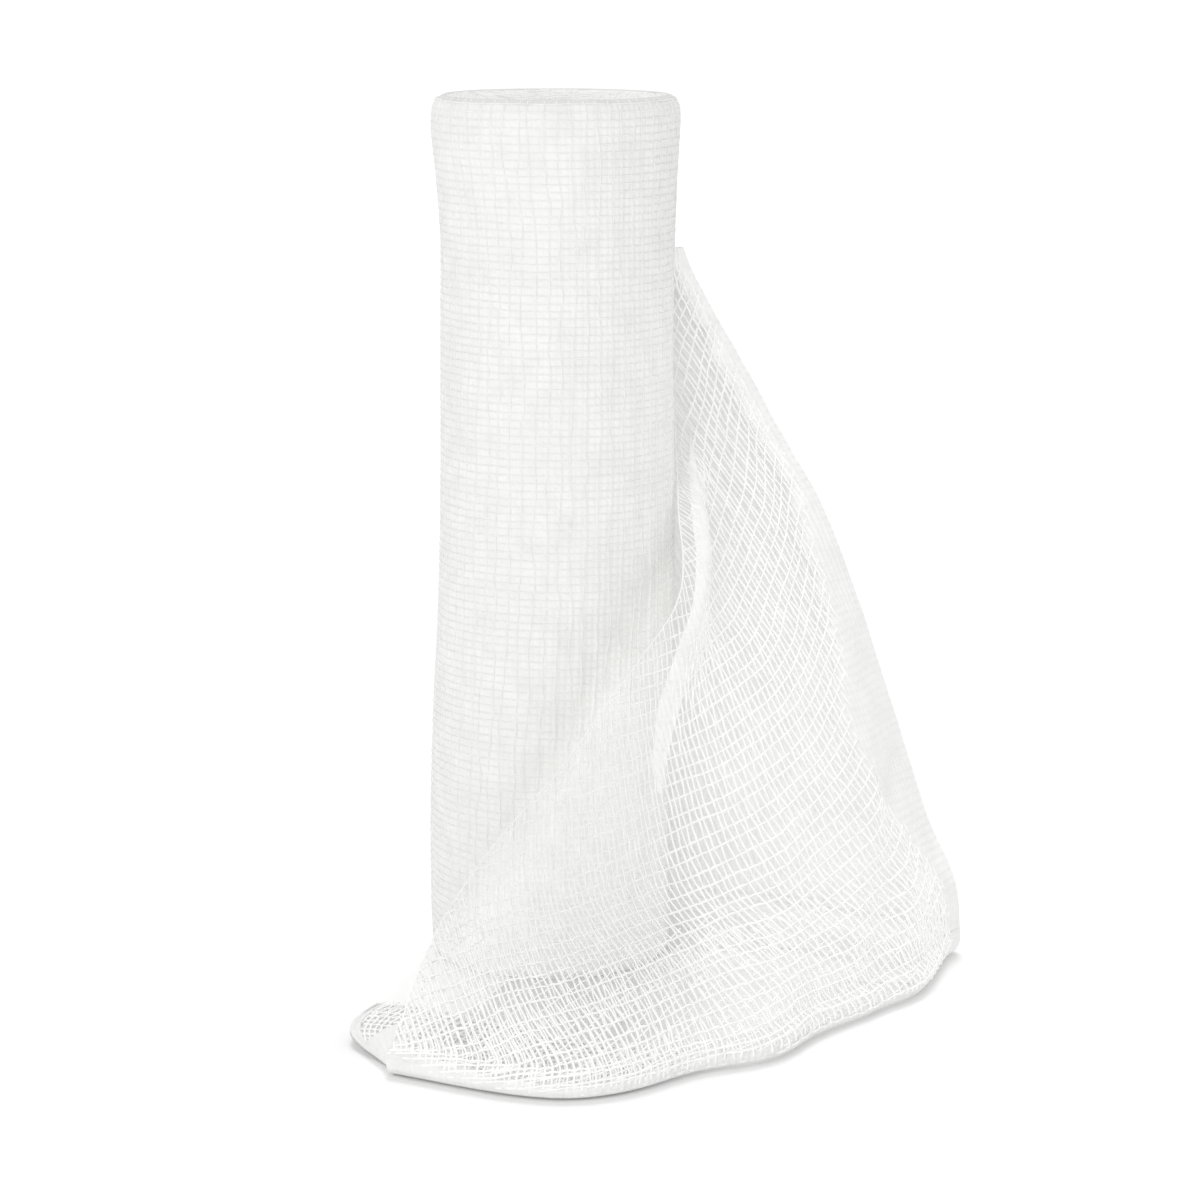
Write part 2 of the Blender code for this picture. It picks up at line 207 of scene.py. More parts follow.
WIDE_COUNTS = (
    # the count at 0, 20, 40, 60, 80, 100, 120 and 140 mm down
    (-60.0, -44.7, -29.5, -14.2, 1.5, 18.0, 34.5, 54.3),
    (-53.5, -38.6, -23.8, -9.1, 5.5, 20.1, 37.6, 54.0),
    (-47.0, -32.5, -18.1, -4.0, 9.8, 23.1, 38.7, 52.0),
    (-40.3, -26.5, -12.7, 0.8, 13.8, 25.8, 39.2, 49.3),
    (-33.3, -20.6, -7.7, 5.2, 17.0, 27.5, 40.2, 47.9),
    (-25.7, -14.7, -3.3, 8.7, 18.8, 29.4, 40.2, 47.7),
    (-17.5, -8.2, 1.2, 11.3, 21.9, 31.6, 40.7, 48.3),
    (-8.9, -0.7, 8.9, 18.0, 26.7, 33.3, 41.2, 49.4),
    (0.0, 8.5, 16.2, 23.2, 30.2, 36.6, 43.3, 50.4),
    (3.5, 11.4, 19.0, 26.3, 33.4, 40.3, 47.5, 54.5),
    (6.7, 14.4, 21.9, 29.3, 36.6, 43.9, 51.3, 58.5),
    (9.7, 17.4, 24.9, 32.3, 39.8, 47.3, 54.9, 62.3),
    (12.7, 20.4, 27.9, 35.4, 42.9, 50.5, 58.2, 66.0),
    (15.7, 23.2, 30.8, 38.3, 45.9, 53.6, 61.5, 69.6),
)

# The grid that the threads are traced on: parts of a strip and of a row
STRIP_PARTS = 4
ROW_PARTS = 2
HEM_TURN_LENGTH = 6.9
LIP_RUN = 20.0

# How the threads of the loose end run: the step along them, their rise and fall at the crossings, their
# wander and how uneven they are
CLOSE_STEP = 0.95
WIDE_STEP = 0.6
THREAD_SIDES = 5
CROSSING_RISE = 0.14
WANDER = 0.14
WANDER_LENGTH = 6.0
SLUB_SHARE = 0.22
SLUB_LENGTH = 2.5
SEED_STRIDES = (7.31, 0.37)
WANDER_SEED_STEP = 0.11
PITCH_UNEVENNESS = 0.17
EDGE_THREAD_SHARE = 0.003
EDGE_THREAD_WIDTH = 0.8
LEAST_RING = 60
CLOSE_SEED = 11
WIDE_SEED = 23
DOUBLE_SEEDS = (37, 41)
OUTER_LEVELS = 260
DOUBLE_LEVELS = 400

# Where the cloth lies in several plies and shows no holes: the band beside the fold
BAND = (
    # down the cloth, how far the plies reach on the front from the fold
    (0.0, 3.0),
    (26.0, 3.6),
    (41.0, 4.0),
    (50.0, 7.0),
    (60.0, 9.3),
    (76.0, 18.5),
    (85.0, 21.5),
    (92.0, 17.5),
    (103.0, 11.0),
    (112.0, 8.0),
    (147.0, 7.0),
)
BAND_BACK = 2.0
BAND_LEAST = 0.5
BAND_FRONT_COLUMNS = 14
BAND_BACK_COLUMNS = 40
PLY_ROW_STEP = 0.15
PLY_LAST_ROW = 43.0
PLY_DEPTH = 0.3
PLY_FADE = 4.0
INNER_PLY_DEPTH = 0.6
INNER_PLY_LAST_ROW = 36
INNER_PLY_START = 2.0
INNER_LIP_SHARE = 0.5
PLY_COLUMNS = 30
LEAST_HEIGHT = 0.1
STRAY = 1.8
BAND_LEAD = 2.2
EDGE_SINK = 0.32
# The close plies rise past the threads, which so vanish into them little by little
PLY_RISE = 0.34
PLY_RISE_RUN = 4.6
BAND_COVER = 2.4
RIM_COVER = 2.0

# How ragged the edges of the close plies are, and the seeds of the four ragged edges
RAGS = (
    # depth, length
    (1.3, 3.2),
    (0.6, 0.9),
)
BAND_SEED = 3.0
EDGE_ROLL_SEED = 5.0
RIM_SEED = 7.0
POCKET_SEED = 9.0

# The hem's rim lies in close plies too, from a row that depends on the share of the way across
RIM = (
    # share, first row
    (0.0, 32.0),
    (0.02, 33.2),
    (0.05, 34.6),
    (0.10, 35.7),
    (0.16, 36.1),
    (0.3, 36.3),
    (0.6, 36.6),
)
RIM_RAG = 0.35
RIM_LENGTH = 220.0
RIM_COLUMNS = 240
RIM_LINES = 12
RIM_ROUNDING = 1.7
RIM_LEAD = 0.9
RIM_LAST_ROW = 38.0
# The rim takes a darker copy of the plies' cotton: painted shade, as it faces up into more light than the
# band
RIM_PAINTED_SHADE = 0.93

# The smooth corner where the free edge turns in to the pocket: rows of the hanging edge and of the floor edge
CORNER_ROWS = (
    # along the corner, row of the hanging edge, row of the floor edge
    (0.0, 32.0, 38.0),
    (1.0, 31.4, 40.8),
)
CORNER_PARTS = 10
CORNER_BULGE = (-0.7, -0.7, 0.0)
CORNER_SHEAR = 0.5
POCKET_ROWS = [RIM_LAST_ROW + 0.25 * i for i in range(25)]
POCKET_ROW_LENGTH = 3.0
POCKET_RIM_SHARE = 0.012
POCKET_RIM_RAG = 0.001
POCKET_RIM_COLUMNS = 3
POCKET_RIM_DEPTH = 0.12

# The edge rolls over beside the roll, in a soft close strip
EDGE_ROLL = (
    # down the cloth, share of the way across at the strip's start and end
    (32.0, 0.215, 0.222),
    (38.0, 0.155, 0.243),
    (44.0, 0.115, 0.252),
    (52.0, 0.098, 0.256),
    (59.0, 0.114, 0.257),
    (66.0, 0.145, 0.254),
    (75.0, 0.178, 0.242),
    (82.0, 0.200, 0.228),
    (88.0, 0.214, 0.220),
)
EDGE_ROLL_HEIGHT = 0.16
EDGE_ROLL_COLUMNS = 8
EDGE_ROLL_RAG = 0.004

# Near the hem the cloth is double, and the wide threads of the inner ply show between the outer ones
DOUBLE_DOWN = 104.0
DOUBLE_STRAY = 4.0
DOUBLE_DEPTH = 0.35
DOUBLE_SLANT = 0.16
DOUBLE_WIDTH = 0.85

# How much finer the threads are where the front hangs over the roll, above its foot. Each place has where
# this ends and how long it takes to
FRONT_FINENESS = 0.3
FRONT_SHARE = (0.19, 0.05)
FRONT_DOWN = (102.0, 14.0)

# The cloth that lies turned in on the floor, up to the roll: a sheet over the floor under the drape, in a
# darker copy of the cotton, which is painted shade
TURNED_IN_PAINTED_SHADE = 0.9
FLOOR_PLY_FIRST_ROW = RIM_LAST_ROW - 0.5
FLOOR_PLY_COLUMNS = 140
FLOOR_PLY_ROWS = 14
FLOOR_PLY_HEIGHT = 0.25
FLOOR_PLY_RADIUS = 21.4
FLOOR_PLY_LENGTH = 200.0

# Where the cloth lies on the roll, its threads settle to this height over it
REST_HEIGHT = 0.45
REST_REACH = 5.0

# The outer turn of the roll
TURN_DEPTH = 0.18
CORE_DEPTH = 0.24
RING_STEP = 0.85
RING_SEED = 0.5
UPRIGHT_SEED = 90.5
RING_WANDER = 0.25
RING_WAVES = (2.0, 2.0, 0.35)
UPRIGHT_STEP = 0.67
TURN_SIDES = 4
TURN_RISE = 0.03
UPRIGHT_SINK = 0.07
UPRIGHT_SHOWS = math.radians(-50.0)
UPRIGHT_WANDERS = (
    # turn, length, seed
    (0.022, 14.0, 0.2),
    (0.012, 4.0, 0.7),
)

# The outer turn puckers in long soft ripples up the roll
RIPPLE_DEPTH = 0.2
RIPPLE_WIDTH = 2.6
RIPPLE_LENGTH = 34.0
RIPPLE_SWAY = 0.05
RIPPLE_SWAY_LENGTH = 11.0
RIPPLE_LEAST = 0.5

# How far the threads of the outer turn keep from the roll's two ends
RIM_CLEARANCE = 0.35
FOOT_MARGIN = 0.2
TOP_MARGIN = 0.25

# The wound turns on the roll's two ends. Real turns lie about 0.35 mm apart; they are drawn at 0.8 mm, so
# that they show
END_TURN_PITCH = 0.8
END_TURN_DEPTH = 0.4
# The roll's two ends take a darker copy of the wound cotton: painted shade on the faces that look up and down
END_PAINTED_SHADE = 0.78
END_TURN_PARTS = 6
END_SIDES = 180
END_FADE = 12.0
END_UNEVENNESS = 0.12
END_WAVES = (0.6, 3.0)
END_WEAVE = 20.0
END_FACING = 0.8
SIDE_LINES = 150

# The cotton's uneven tone, the size of its fuzz and the fuzz's depth, in millimetres
YARN_TEXTURE = (1.6, 0.3, 0.06)
PLY_TEXTURE = (5.0, 0.6, 0.1)
PLY_WEAVE_DEPTH = 0.12
PLY_WEAVE_BEND = 0.6
PLY_BENDS_TO_THE_METRE = 180.0

# Weak glows stand for light that comes through the gauze, or back from it
THROUGH_GLOW = 0.12
YARN_GLOW = 0.12
INSIDE_GLOW = 0.16
FLOOR_PLY_GLOW = 0.26
PLY_GLOW = 0.05

# Where a glow shows. Each ramp has the way that it grows, where it starts and is whole along that way, in
# millimetres, and its strength at both. The ramps of a group are multiplied, and the strongest group counts
ACROSS = (1.0, 0.0, 0.0)
BACK = (0.0, 1.0, 0.0)
UP = (0.0, 0.0, 1.0)
# Down from the drape's slanting edge, which crosses the roll's middle 44 mm up and rises by 1.8 to the right
UNDER_THE_EDGE = (1.8, 0.0, -1.0)
LIT_THROUGH = (
    ((UNDER_THE_EDGE, -44.0, -32.0, 0.0, 1.0), (BACK, 4.0, -6.0, 0.0, 1.0)),
    ((ACROSS, 12.0, 21.0, 0.0, 0.5), (UP, 128.0, 110.0, 0.0, 1.0)),
)
# Where the roll stands behind the cloth, less light comes through
YARN_LIT = (((ACROSS, 17.0, 26.0, 0.5, 1.0),), ((UP, 16.0, 7.0, 0.5, 1.0),))
FLOOR_PLY_LIT = (((ACROSS, 12.0, 32.0, 0.15, 1.0),),)


def srgb(code):
    """A linear colour from its sRGB hex code."""
    colour = []
    for index in (0, 2, 4):
        part = int(code[index : index + 2], 16) / 255.0
        colour.append(part / 12.92 if part <= 0.04045 else ((part + 0.055) / 1.055) ** 2.4)
    return colour


class GauzeRollSizes(bpy.types.PropertyGroup):
    """The sizes of the gauze that a user would change."""

    close_pitch: bpy.props.FloatProperty(
        name="Close thread pitch",
        description="Distance between the close threads of the weave",
        default=1.34 * MM,
        min=0.5 * MM,
        max=4.0 * MM,
        precision=5,
        subtype="DISTANCE",
        unit="LENGTH",
    )
    wide_pitch: bpy.props.FloatProperty(
        name="Wide thread pitch",
        description="Distance between the wide threads, which cross the close ones",
        default=2.31 * MM,
        min=0.5 * MM,
        max=6.0 * MM,
        precision=5,
        subtype="DISTANCE",
        unit="LENGTH",
    )
    thread_width: bpy.props.FloatProperty(
        name="Thread width",
        description="Width of one cotton thread of the loose end",
        default=0.37 * MM,
        min=0.1 * MM,
        max=0.8 * MM,
        precision=5,
        subtype="DISTANCE",
        unit="LENGTH",
    )
    wound_thread_width: bpy.props.FloatProperty(
        name="Wound thread width",
        description="Width of one thread of the roll's outer turn",
        default=0.27 * MM,
        min=0.1 * MM,
        max=0.8 * MM,
        precision=5,
        subtype="DISTANCE",
        unit="LENGTH",
    )


class GauzeRollColours(bpy.types.PropertyGroup):
    """The colours of the gauze and of what it stands on."""

    wound_cotton: bpy.props.FloatVectorProperty(
        name="Wound cotton",
        description="Colour of the wound gauze",
        default=srgb("F9F9F7"),
        subtype="COLOR",
        min=0.0,
        max=1.0,
    )
    loose_cotton: bpy.props.FloatVectorProperty(
        name="Loose cotton",
        description="Colour of the loose end's threads",
        default=srgb("FAFAF9"),
        subtype="COLOR",
        min=0.0,
        max=1.0,
    )
    floor: bpy.props.FloatVectorProperty(
        name="Floor",
        description="Colour of the floor",
        default=srgb("FCFCFC"),
        subtype="COLOR",
        min=0.0,
        max=1.0,
    )


def smooth_step(value):
    value = min(max(value, 0.0), 1.0)
    return value * value * (3.0 - 2.0 * value)


def through(points, position):
    """A smooth curve through the points; position counts them from 0."""
    last = len(points) - 1
    index = min(int(position), last - 1)
    part = position - index
    before = points[max(index - 1, 0)]
    start = points[index]
    end = points[index + 1]
    after = points[min(index + 2, last)]
    curve = []
    for a, b, c, d in zip(before, start, end, after):
        bend = 2.0 * a - 5.0 * b + 4.0 * c - d
        twist = 3.0 * (b - c) + d - a
        curve.append(b + 0.5 * part * (c - a + part * (bend + part * twist)))
    return curve


def row_at(table, height):
    """The table's row at any height, between its own rows."""
    rising = table[-1][0] > table[0][0]
    for index in range(len(table) - 1):
        low, high = table[index][0], table[index + 1][0]
        inside = low <= height <= high if rising else high <= height <= low
        if inside:
            return through(table, index + (height - low) / (high - low))
    top_first = (height > table[0][0]) != rising
    return list(table[0] if top_first else table[-1])


def lumps(angle, height):
    waves = [depth * math.sin(count * angle + turn * height + start) for depth, count, turn, start in LUMPS]
    return sum(waves)


def winding(angle):
    """The outer turn rises by one step where it leaves the roll."""
    turned = (math.degrees(angle) - WINDING_STEP_ANGLE) % 360.0
    ramp = WINDING_STEP * (1.0 - turned / 360.0)
    lip = 1.0 - smooth_step(turned / WINDING_STEP_SPREAD)
    return ramp * (1.0 - lip)


def roll_radius(angle, height):
    radius = row_at(ROLL_OUTLINE, height)[1]
    return radius + lumps(angle, height) + winding(angle) - WINDING_STEP


def roll_lean(height):
    return row_at(ROLL_OUTLINE, height)[2]


def off_the_roll(x, y, height, gap):
    """Moves a point of the cloth out until it clears the roll by the gap."""
    lean = roll_lean(height)
    angle = math.atan2(y, x - lean)
    distance = math.hypot(x - lean, y)
    least = roll_radius(angle, height) + gap + CLOTH_THICKNESS / 2.0
    if distance >= least:
        return x, y
    return lean + least * math.cos(angle), least * math.sin(angle)


def seat_angles(fold, height):
    """Where the cloth's back ply meets the roll, and where it ends on it, as angles round the roll."""
    fold_x = fold[0] - roll_lean(height)
    mean = row_at(ROLL_OUTLINE, height)[1] + SEAT_GAP + CLOTH_THICKNESS / 2.0
    reach = min(mean / math.hypot(fold_x, fold[1]), TOUCH_LIMIT)
    touch = math.atan2(fold[1], fold_x) + math.acos(reach)
    return touch, touch + SEAT_ARC / mean


def on_the_roll(angle, height):
    radius = roll_radius(angle, height) + SEAT_GAP + CLOTH_THICKNESS / 2.0
    return roll_lean(height) + radius * math.cos(angle), radius * math.sin(angle)


def unit(start, end):
    length = math.dist(start, end)
    return (end[0] - start[0]) / length, (end[1] - start[1]) / length


def fold_sides(fold, radius, before, after):
    """The two points beside the fold, where its plies begin."""
    to_before = unit(fold, before)
    to_after = unit(fold, after)
    inward = unit((0.0, 0.0), (to_before[0] + to_after[0], to_before[1] + to_after[1]))
    across = (-inward[1], inward[0])
    if across[0] * to_after[0] + across[1] * to_after[1] < 0.0:
        across = (inward[1], -inward[0])
    lean_in = inward[0] * to_after[0] + inward[1] * to_after[1]
    depth = FOLD_DEPTH * radius
    apart = max(radius, depth * math.sqrt(1.0 - lean_in * lean_in) / lean_in)
    middle = (fold[0] + depth * inward[0], fold[1] + depth * inward[1])
    near = (middle[0] - apart * across[0], middle[1] - apart * across[1])
    far = (middle[0] + apart * across[0], middle[1] + apart * across[1])
    return near, far


def swell(start, end, out):
    """The middle of a stretch of cloth, pushed out from its chord."""
    chord = (end[0] - start[0], end[1] - start[1])
    length = math.hypot(*chord)
    middle = ((start[0] + end[0]) / 2.0, (start[1] + end[1]) / 2.0)
    return middle[0] + out * chord[1] / length, middle[1] - out * chord[0] / length


@functools.lru_cache(maxsize=None)
def stations(height):
    """The places that one level of the sheet goes through, from its free edge to its seat on the roll."""
    row = row_at(LEVELS, height)
    _, edge_x, edge_y, front, nose_x, nose_y, valley_x, valley_y, side, fold_x, fold_y, radius = row
    edge = (edge_x, edge_y)
    nose = (nose_x, nose_y)
    valley = (valley_x, valley_y)
    fold = (fold_x, fold_y)
    touch = on_the_roll(seat_angles(fold, height)[0], height)
    near_fold, far_fold = fold_sides(fold, radius, swell(valley, fold, side), touch)
    return [
        edge,
        swell(edge, nose, front),
        nose,
        valley,
        swell(valley, near_fold, side),
        near_fold,
        fold,
        far_fold,
        swell(far_fold, touch, BACK_SWELL * math.dist(far_fold, touch)),
        touch,
    ]


def station_position(share):
    """Turns a share of the way across the sheet into a place among the stations."""
    strip = share * sum(STATION_STRIPS)
    for index, strips in enumerate(STATION_STRIPS):
        if strip <= strips:
            return index + strip / strips
        strip -= strips
    return float(len(STATION_STRIPS))


def fold_relief(share, height):
    """How far the main folds lift the cloth off its smooth form."""
    lift = 0.0
    for _, top_share, foot_share, top, foot, depth, half_width in FOLDS:
        along = (top - height) / (top - foot)
        middle = top_share + (foot_share - top_share) * along
        across = (share - middle) / half_width
        starts = smooth_step((along + FOLD_LEAD) * FOLD_FADE)
        ends = smooth_step((FOLD_TAIL - along) * FOLD_FADE)
        lift += depth * starts * ends * math.exp(-across * across)
    return lift


def level_point(share, height):
    """A point of the hanging cloth."""
    places = stations(height)
    position = station_position(share)
    seat = len(places) - 1.0
    if position >= seat:
        touch, end = seat_angles(places[FOLD_STATION], height)
        return on_the_roll(touch + (position - seat) * (end - touch), height)
    x, y = through(places, position)
    x_on, y_on = through(places, min(position + SLOPE_STEP, seat))
    x_off, y_off = through(places, max(position - SLOPE_STEP, 0.0))
    length = math.hypot(x_on - x_off, y_on - y_off)
    lift = fold_relief(share, height)
    x += lift * (y_on - y_off) / length
    y -= lift * (x_on - x_off) / length
    from_seat = min((seat - position) * SEAT_OPENING, (LEVELS[0][0] - height) / CLEARANCE_RUN)
    gap = SEAT_GAP + (ROLL_CLEARANCE - SEAT_GAP) * smooth_step(from_seat)
    return off_the_roll(x, y, height, gap)


def lip_offset(x, y, share, along):
    """How far the turned-under cloth has run along the floor: to the drape's middle, or into the corner."""
    to_centre = Vector((HEM_CENTRE[0] - x, HEM_CENTRE[1] - y)).normalized() * LIP_LENGTH
    corner = max(1.0 - share / POCKET_CORNER, 0.0)
    to_pocket = Vector(POCKET_REACH) * (1.0 - POCKET_CORNER_CUT * corner * corner)
    # The bow starts slowly and is one POCKET_BOW deep where it is deepest, two thirds of the way along
    depth = POCKET_BOW * BOW_SCALE * along * along * (1.0 - along)
    bow = Vector((-to_pocket.y, to_pocket.x)).normalized() * depth
    pocket = 1.0 - smooth_step(share / POCKET_SHARE)
    return to_centre.lerp(to_pocket, pocket) * along + bow * pocket


def outward_at(share, height):
    """The way that the cloth faces at one place of a level."""
    x_on, y_on = level_point(min(share + SLOPE_STEP, 1.0), height)
    x_off, y_off = level_point(max(share - SLOPE_STEP, 0.0), height)
    return Vector((y_on - y_off, x_off - x_on)).normalized()


def hem_point(share, row):
    """A point of the hem, in rows from the lowest hanging level: it turns under, then lies on the floor."""
    floor_height = CLOTH_THICKNESS / 2.0
    hem_top = LEVELS[-1][0]
    radius = (hem_top - floor_height) / 2.0
    x, y = level_point(share, hem_top)
    turn = math.pi * min(row / HEM_ROWS, 1.0)
    along = max((row - HEM_ROWS) / LIP_ROWS, 0.0)
    pocket = 1.0 - smooth_step(share / POCKET_SHARE)
    offset = outward_at(share, hem_top) * radius * math.sin(turn) + lip_offset(x, y, share, along)
    height = floor_height + radius * (1.0 + math.cos(turn)) + POCKET_RISE * pocket * along * along

    # The back ply has no turn: it runs straight down to the floor
    straight = hem_top + (floor_height - hem_top) * row / (HEM_ROWS + LIP_ROWS)
    fade = smooth_step((share - LIP_FADES[0]) / (LIP_FADES[1] - LIP_FADES[0]))
    height += (straight - height) * fade
    x += offset.x * (1.0 - fade)
    y += offset.y * (1.0 - fade)
    if fade == 0.0:
        x, y = off_the_roll(x, y, height, ROLL_CLEARANCE)
    return x, y, height


def sheet_point(share, row):
    """A point of the sheet, counted in rows from its top."""
    if row > ROWS_ABOVE_HEM:
        return hem_point(share, row - ROWS_ABOVE_HEM)
    height = LEVELS[0][0] + (LEVELS[-1][0] - LEVELS[0][0]) * row / ROWS_ABOVE_HEM
    x, y = level_point(share, height)
    return x, y, height


def down_the_cloth(row):
    """The length of cloth from its top to a row."""
    hanging = (LEVELS[0][0] - LEVELS[-1][0]) * min(row / ROWS_ABOVE_HEM, 1.0)
    turning = HEM_TURN_LENGTH * min(max((row - ROWS_ABOVE_HEM) / HEM_ROWS, 0.0), 1.0)
    lying = LIP_RUN * max((row - ROWS_ABOVE_HEM - HEM_ROWS) / LIP_ROWS, 0.0)
    return hanging + turning + lying


def flared(place, share, row):
    """Moves a place near the fold's foot out, down to where the hem turns under."""
    hanging = row <= ROWS_ABOVE_HEM
    turn = max(row - ROWS_ABOVE_HEM, 0.0) / HEM_ROWS
    if turn > FLARE_LAST_TURN:
        return place
    reach = smooth_step((FLARE_TOP - place.z) / FLARE_RUN) if hanging else 1.0 - math.sin(math.pi * turn)
    reach *= FLARE * math.exp(-(((share - FLARE_SHARE) / FLARE_WIDTH) ** 2))
    if reach <= FLARE_LEAST:
        return place
    return place + outward_at(share, max(place.z, LEVELS[-1][0])).to_3d() * reach


def thread_count(table, across, down):
    """How many threads lie between the top of the fold and a place of the cloth."""
    counts = onward(table, (across - COUNT_EDGE) / COUNT_ACROSS)
    return onward([(count,) for count in counts], down / COUNT_DOWN)[0]


def onward(points, position):
    """The curve through the points, carried straight on past its two ends."""
    last = len(points) - 1
    inside = min(max(position, 0.0), float(last))
    curve = through(points, inside)
    if position == inside:
        return curve
    start, end = (points[0], points[1]) if position < inside else (points[last - 1], points[last])
    return [value + (b - a) * (position - inside) for value, a, b in zip(curve, start, end)]


def settled(place):
    """Draws a place of the cloth in to the roll where it lies on it."""
    lean = roll_lean(place.z)
    angle = math.atan2(place.y, place.x - lean)
    over = math.hypot(place.x - lean, place.y) - roll_radius(angle, place.z)
    resting = ROLL_CLEARANCE + CLOTH_THICKNESS / 2.0
    drawn_in = min(resting, over) - REST_HEIGHT
    drawn_in *= smooth_step((resting + REST_REACH - over) / REST_REACH)
    return place - Vector((math.cos(angle), math.sin(angle), 0.0)) * max(drawn_in, 0.0)


class Drape:
    """The loose end on a fine grid: each place with its position, its facing and its two thread counts."""

    def __init__(self):
        self.columns = sum(STATION_STRIPS) * STRIP_PARTS + 1
        self.rows = (ROWS_ABOVE_HEM + HEM_ROWS + LIP_ROWS) * ROW_PARTS + 1
        self.shares = [column / (self.columns - 1) for column in range(self.columns)]
        self.points = []
        self.across = []
        self.down = []
        for row in range(self.rows):
            part_row = row / ROW_PARTS
            line = [flared(Vector(sheet_point(share, part_row)), share, part_row) for share in self.shares]
            self.points += [settled(place) for place in line]
            self.down += [down_the_cloth(part_row)] * self.columns
            if row <= ROWS_ABOVE_HEM * ROW_PARTS:
                across = self.lengths_from_fold(line)
            self.across += across
        self.facing = [self.facing_at(index) for index in range(len(self.points))]
        places = list(zip(self.across, self.down))
        self.close = [thread_count(CLOSE_COUNTS, across, down) for across, down in places]
        self.wide = [thread_count(WIDE_COUNTS, across, down) for across, down in places]

    def lengths_from_fold(self, line):
        lengths = [0.0]
        for start, end in zip(line, line[1:]):
            lengths.append(lengths[-1] + (end - start).length)
        fold = lengths[sum(STATION_STRIPS[:FOLD_STATION]) * STRIP_PARTS]
        return [length - fold for length in lengths]

    def facing_at(self, index):
        column, row = index % self.columns, index // self.columns
        right = index + 1 if column < self.columns - 1 else index
        left = index - 1 if column > 0 else index
        below = index + self.columns if row < self.rows - 1 else index
        above = index - self.columns if row > 0 else index
        over = self.points[right] - self.points[left]
        down = self.points[below] - self.points[above]
        return down.cross(over).normalized()

    def at_share(self, share, row):
        """The position, facing and facts of a place of the cloth."""
        column = min(max(share, 0.0), 1.0) * (self.columns - 1)
        left = min(int(column), self.columns - 2)
        line = min(max(row, 0.0) * ROW_PARTS, self.rows - 1.0)
        top = min(int(line), self.rows - 2)
        over, down = column - left, line - top
        corners = (top * self.columns + left, (top + 1) * self.columns + left)
        points = [self.points[i].lerp(self.points[i + 1], over) for i in corners]
        facings = [self.facing[i].lerp(self.facing[i + 1], over) for i in corners]
        across = [self.across[i] + (self.across[i + 1] - self.across[i]) * over for i in corners]
        facts = (0.0, across[0] + (across[1] - across[0]) * down, down_the_cloth(row), share, row)
        return points[0].lerp(points[1], down), facings[0].lerp(facings[1], down).normalized(), facts

    def share_at(self, across, row):
        """The share of the way across the sheet at a length from the fold."""
        top = min(int(row * ROW_PARTS), self.rows - 2)
        part = min(row * ROW_PARTS - top, 1.0)
        shares = []
        for line in (top, top + 1):
            lengths = self.across[line * self.columns : (line + 1) * self.columns]
            column = min(max(bisect.bisect(lengths, across), 1), self.columns - 1)
            low, high = lengths[column - 1], lengths[column]
            inside = min(max((across - low) / (high - low), 0.0), 1.0)
            shares.append((column - 1 + inside) / (self.columns - 1))
        return shares[0] + (shares[1] - shares[0]) * part

    def share_and_row(self, index):
        return self.shares[index % self.columns], index // self.columns / ROW_PARTS

    def area(self):
        """The flat area of the cloth, in square metres."""
        total = 0.0
        for a, b, c, d in self.cells():
            p, q, r, s = (self.points[i] for i in (a, b, c, d))
            total += ((q - p).cross(r - p).length + (r - p).cross(s - p).length) / 2.0
        return total * MM * MM

    def cells(self):
        for row in range(self.rows - 1):
            for column in range(self.columns - 1):
                a = row * self.columns + column
                yield a, a + 1, a + 1 + self.columns, a + self.columns


@functools.lru_cache(maxsize=None)
def drape():
    return Drape()


def level_segments(values, cells, unevenness):
    """Where each whole count crosses the grid's triangles: for each count, which grid edges join up."""
    levels = {}
    for a, b, c, d in cells:
        for corners in ((a, b, c), (a, c, d)):
            counts = [values[corner] for corner in corners]
            for level in range(math.ceil(min(counts) - 0.5), math.floor(max(counts) + 0.5) + 1):
                at = level + unevenness(level)
                ends = []
                for start, end in ((0, 1), (1, 2), (2, 0)):
                    if (counts[start] < at) != (counts[end] < at):
                        ends.append(tuple(sorted((corners[start], corners[end]))))
                if len(ends) == 2:
                    joined = levels.setdefault(level, {})
                    joined.setdefault(ends[0], []).append(ends[1])
                    joined.setdefault(ends[1], []).append(ends[0])
    return levels


def chains(joined):
    """Follows the joined edges from end to end."""
    left = set(joined)
    starts = [edge for edge in sorted(joined) if len(joined[edge]) == 1] + sorted(joined)
    for start in starts:
        if start not in left:
            continue
        chain = [start]
        left.discard(start)
        while True:
            following = [edge for edge in joined[chain[-1]] if edge in left]
            if not following:
                break
            chain.append(following[0])
            left.discard(following[0])
        # A short closed ring is a place where the counts level out, not a thread
        if len(chain) > (2 if len(joined[start]) == 1 else LEAST_RING):
            yield chain


def traced_threads(values, others, unevenness):
    """Each thread as a list of (position, facing, facts). The facts are the count of the threads that cross
    it, how far across and down the cloth it is, and its share and row."""
    cloth = drape()
    facts = [
        (other, across, down, *cloth.share_and_row(index))
        for index, (other, across, down) in enumerate(zip(others, cloth.across, cloth.down))
    ]
    for level, joined in sorted(level_segments(values, list(cloth.cells()), unevenness).items()):
        at = level + unevenness(level)
        for chain in chains(joined):
            line = []
            for start, end in chain:
                part = (at - values[start]) / (values[end] - values[start])
                place = cloth.points[start].lerp(cloth.points[end], part)
                facing = cloth.facing[start].lerp(cloth.facing[end], part).normalized()
                line.append((place, facing, between(facts[start], facts[end], part)))
            yield level, line


def between(start, end, part):
    return [a + (b - a) * part for a, b in zip(start, end)]


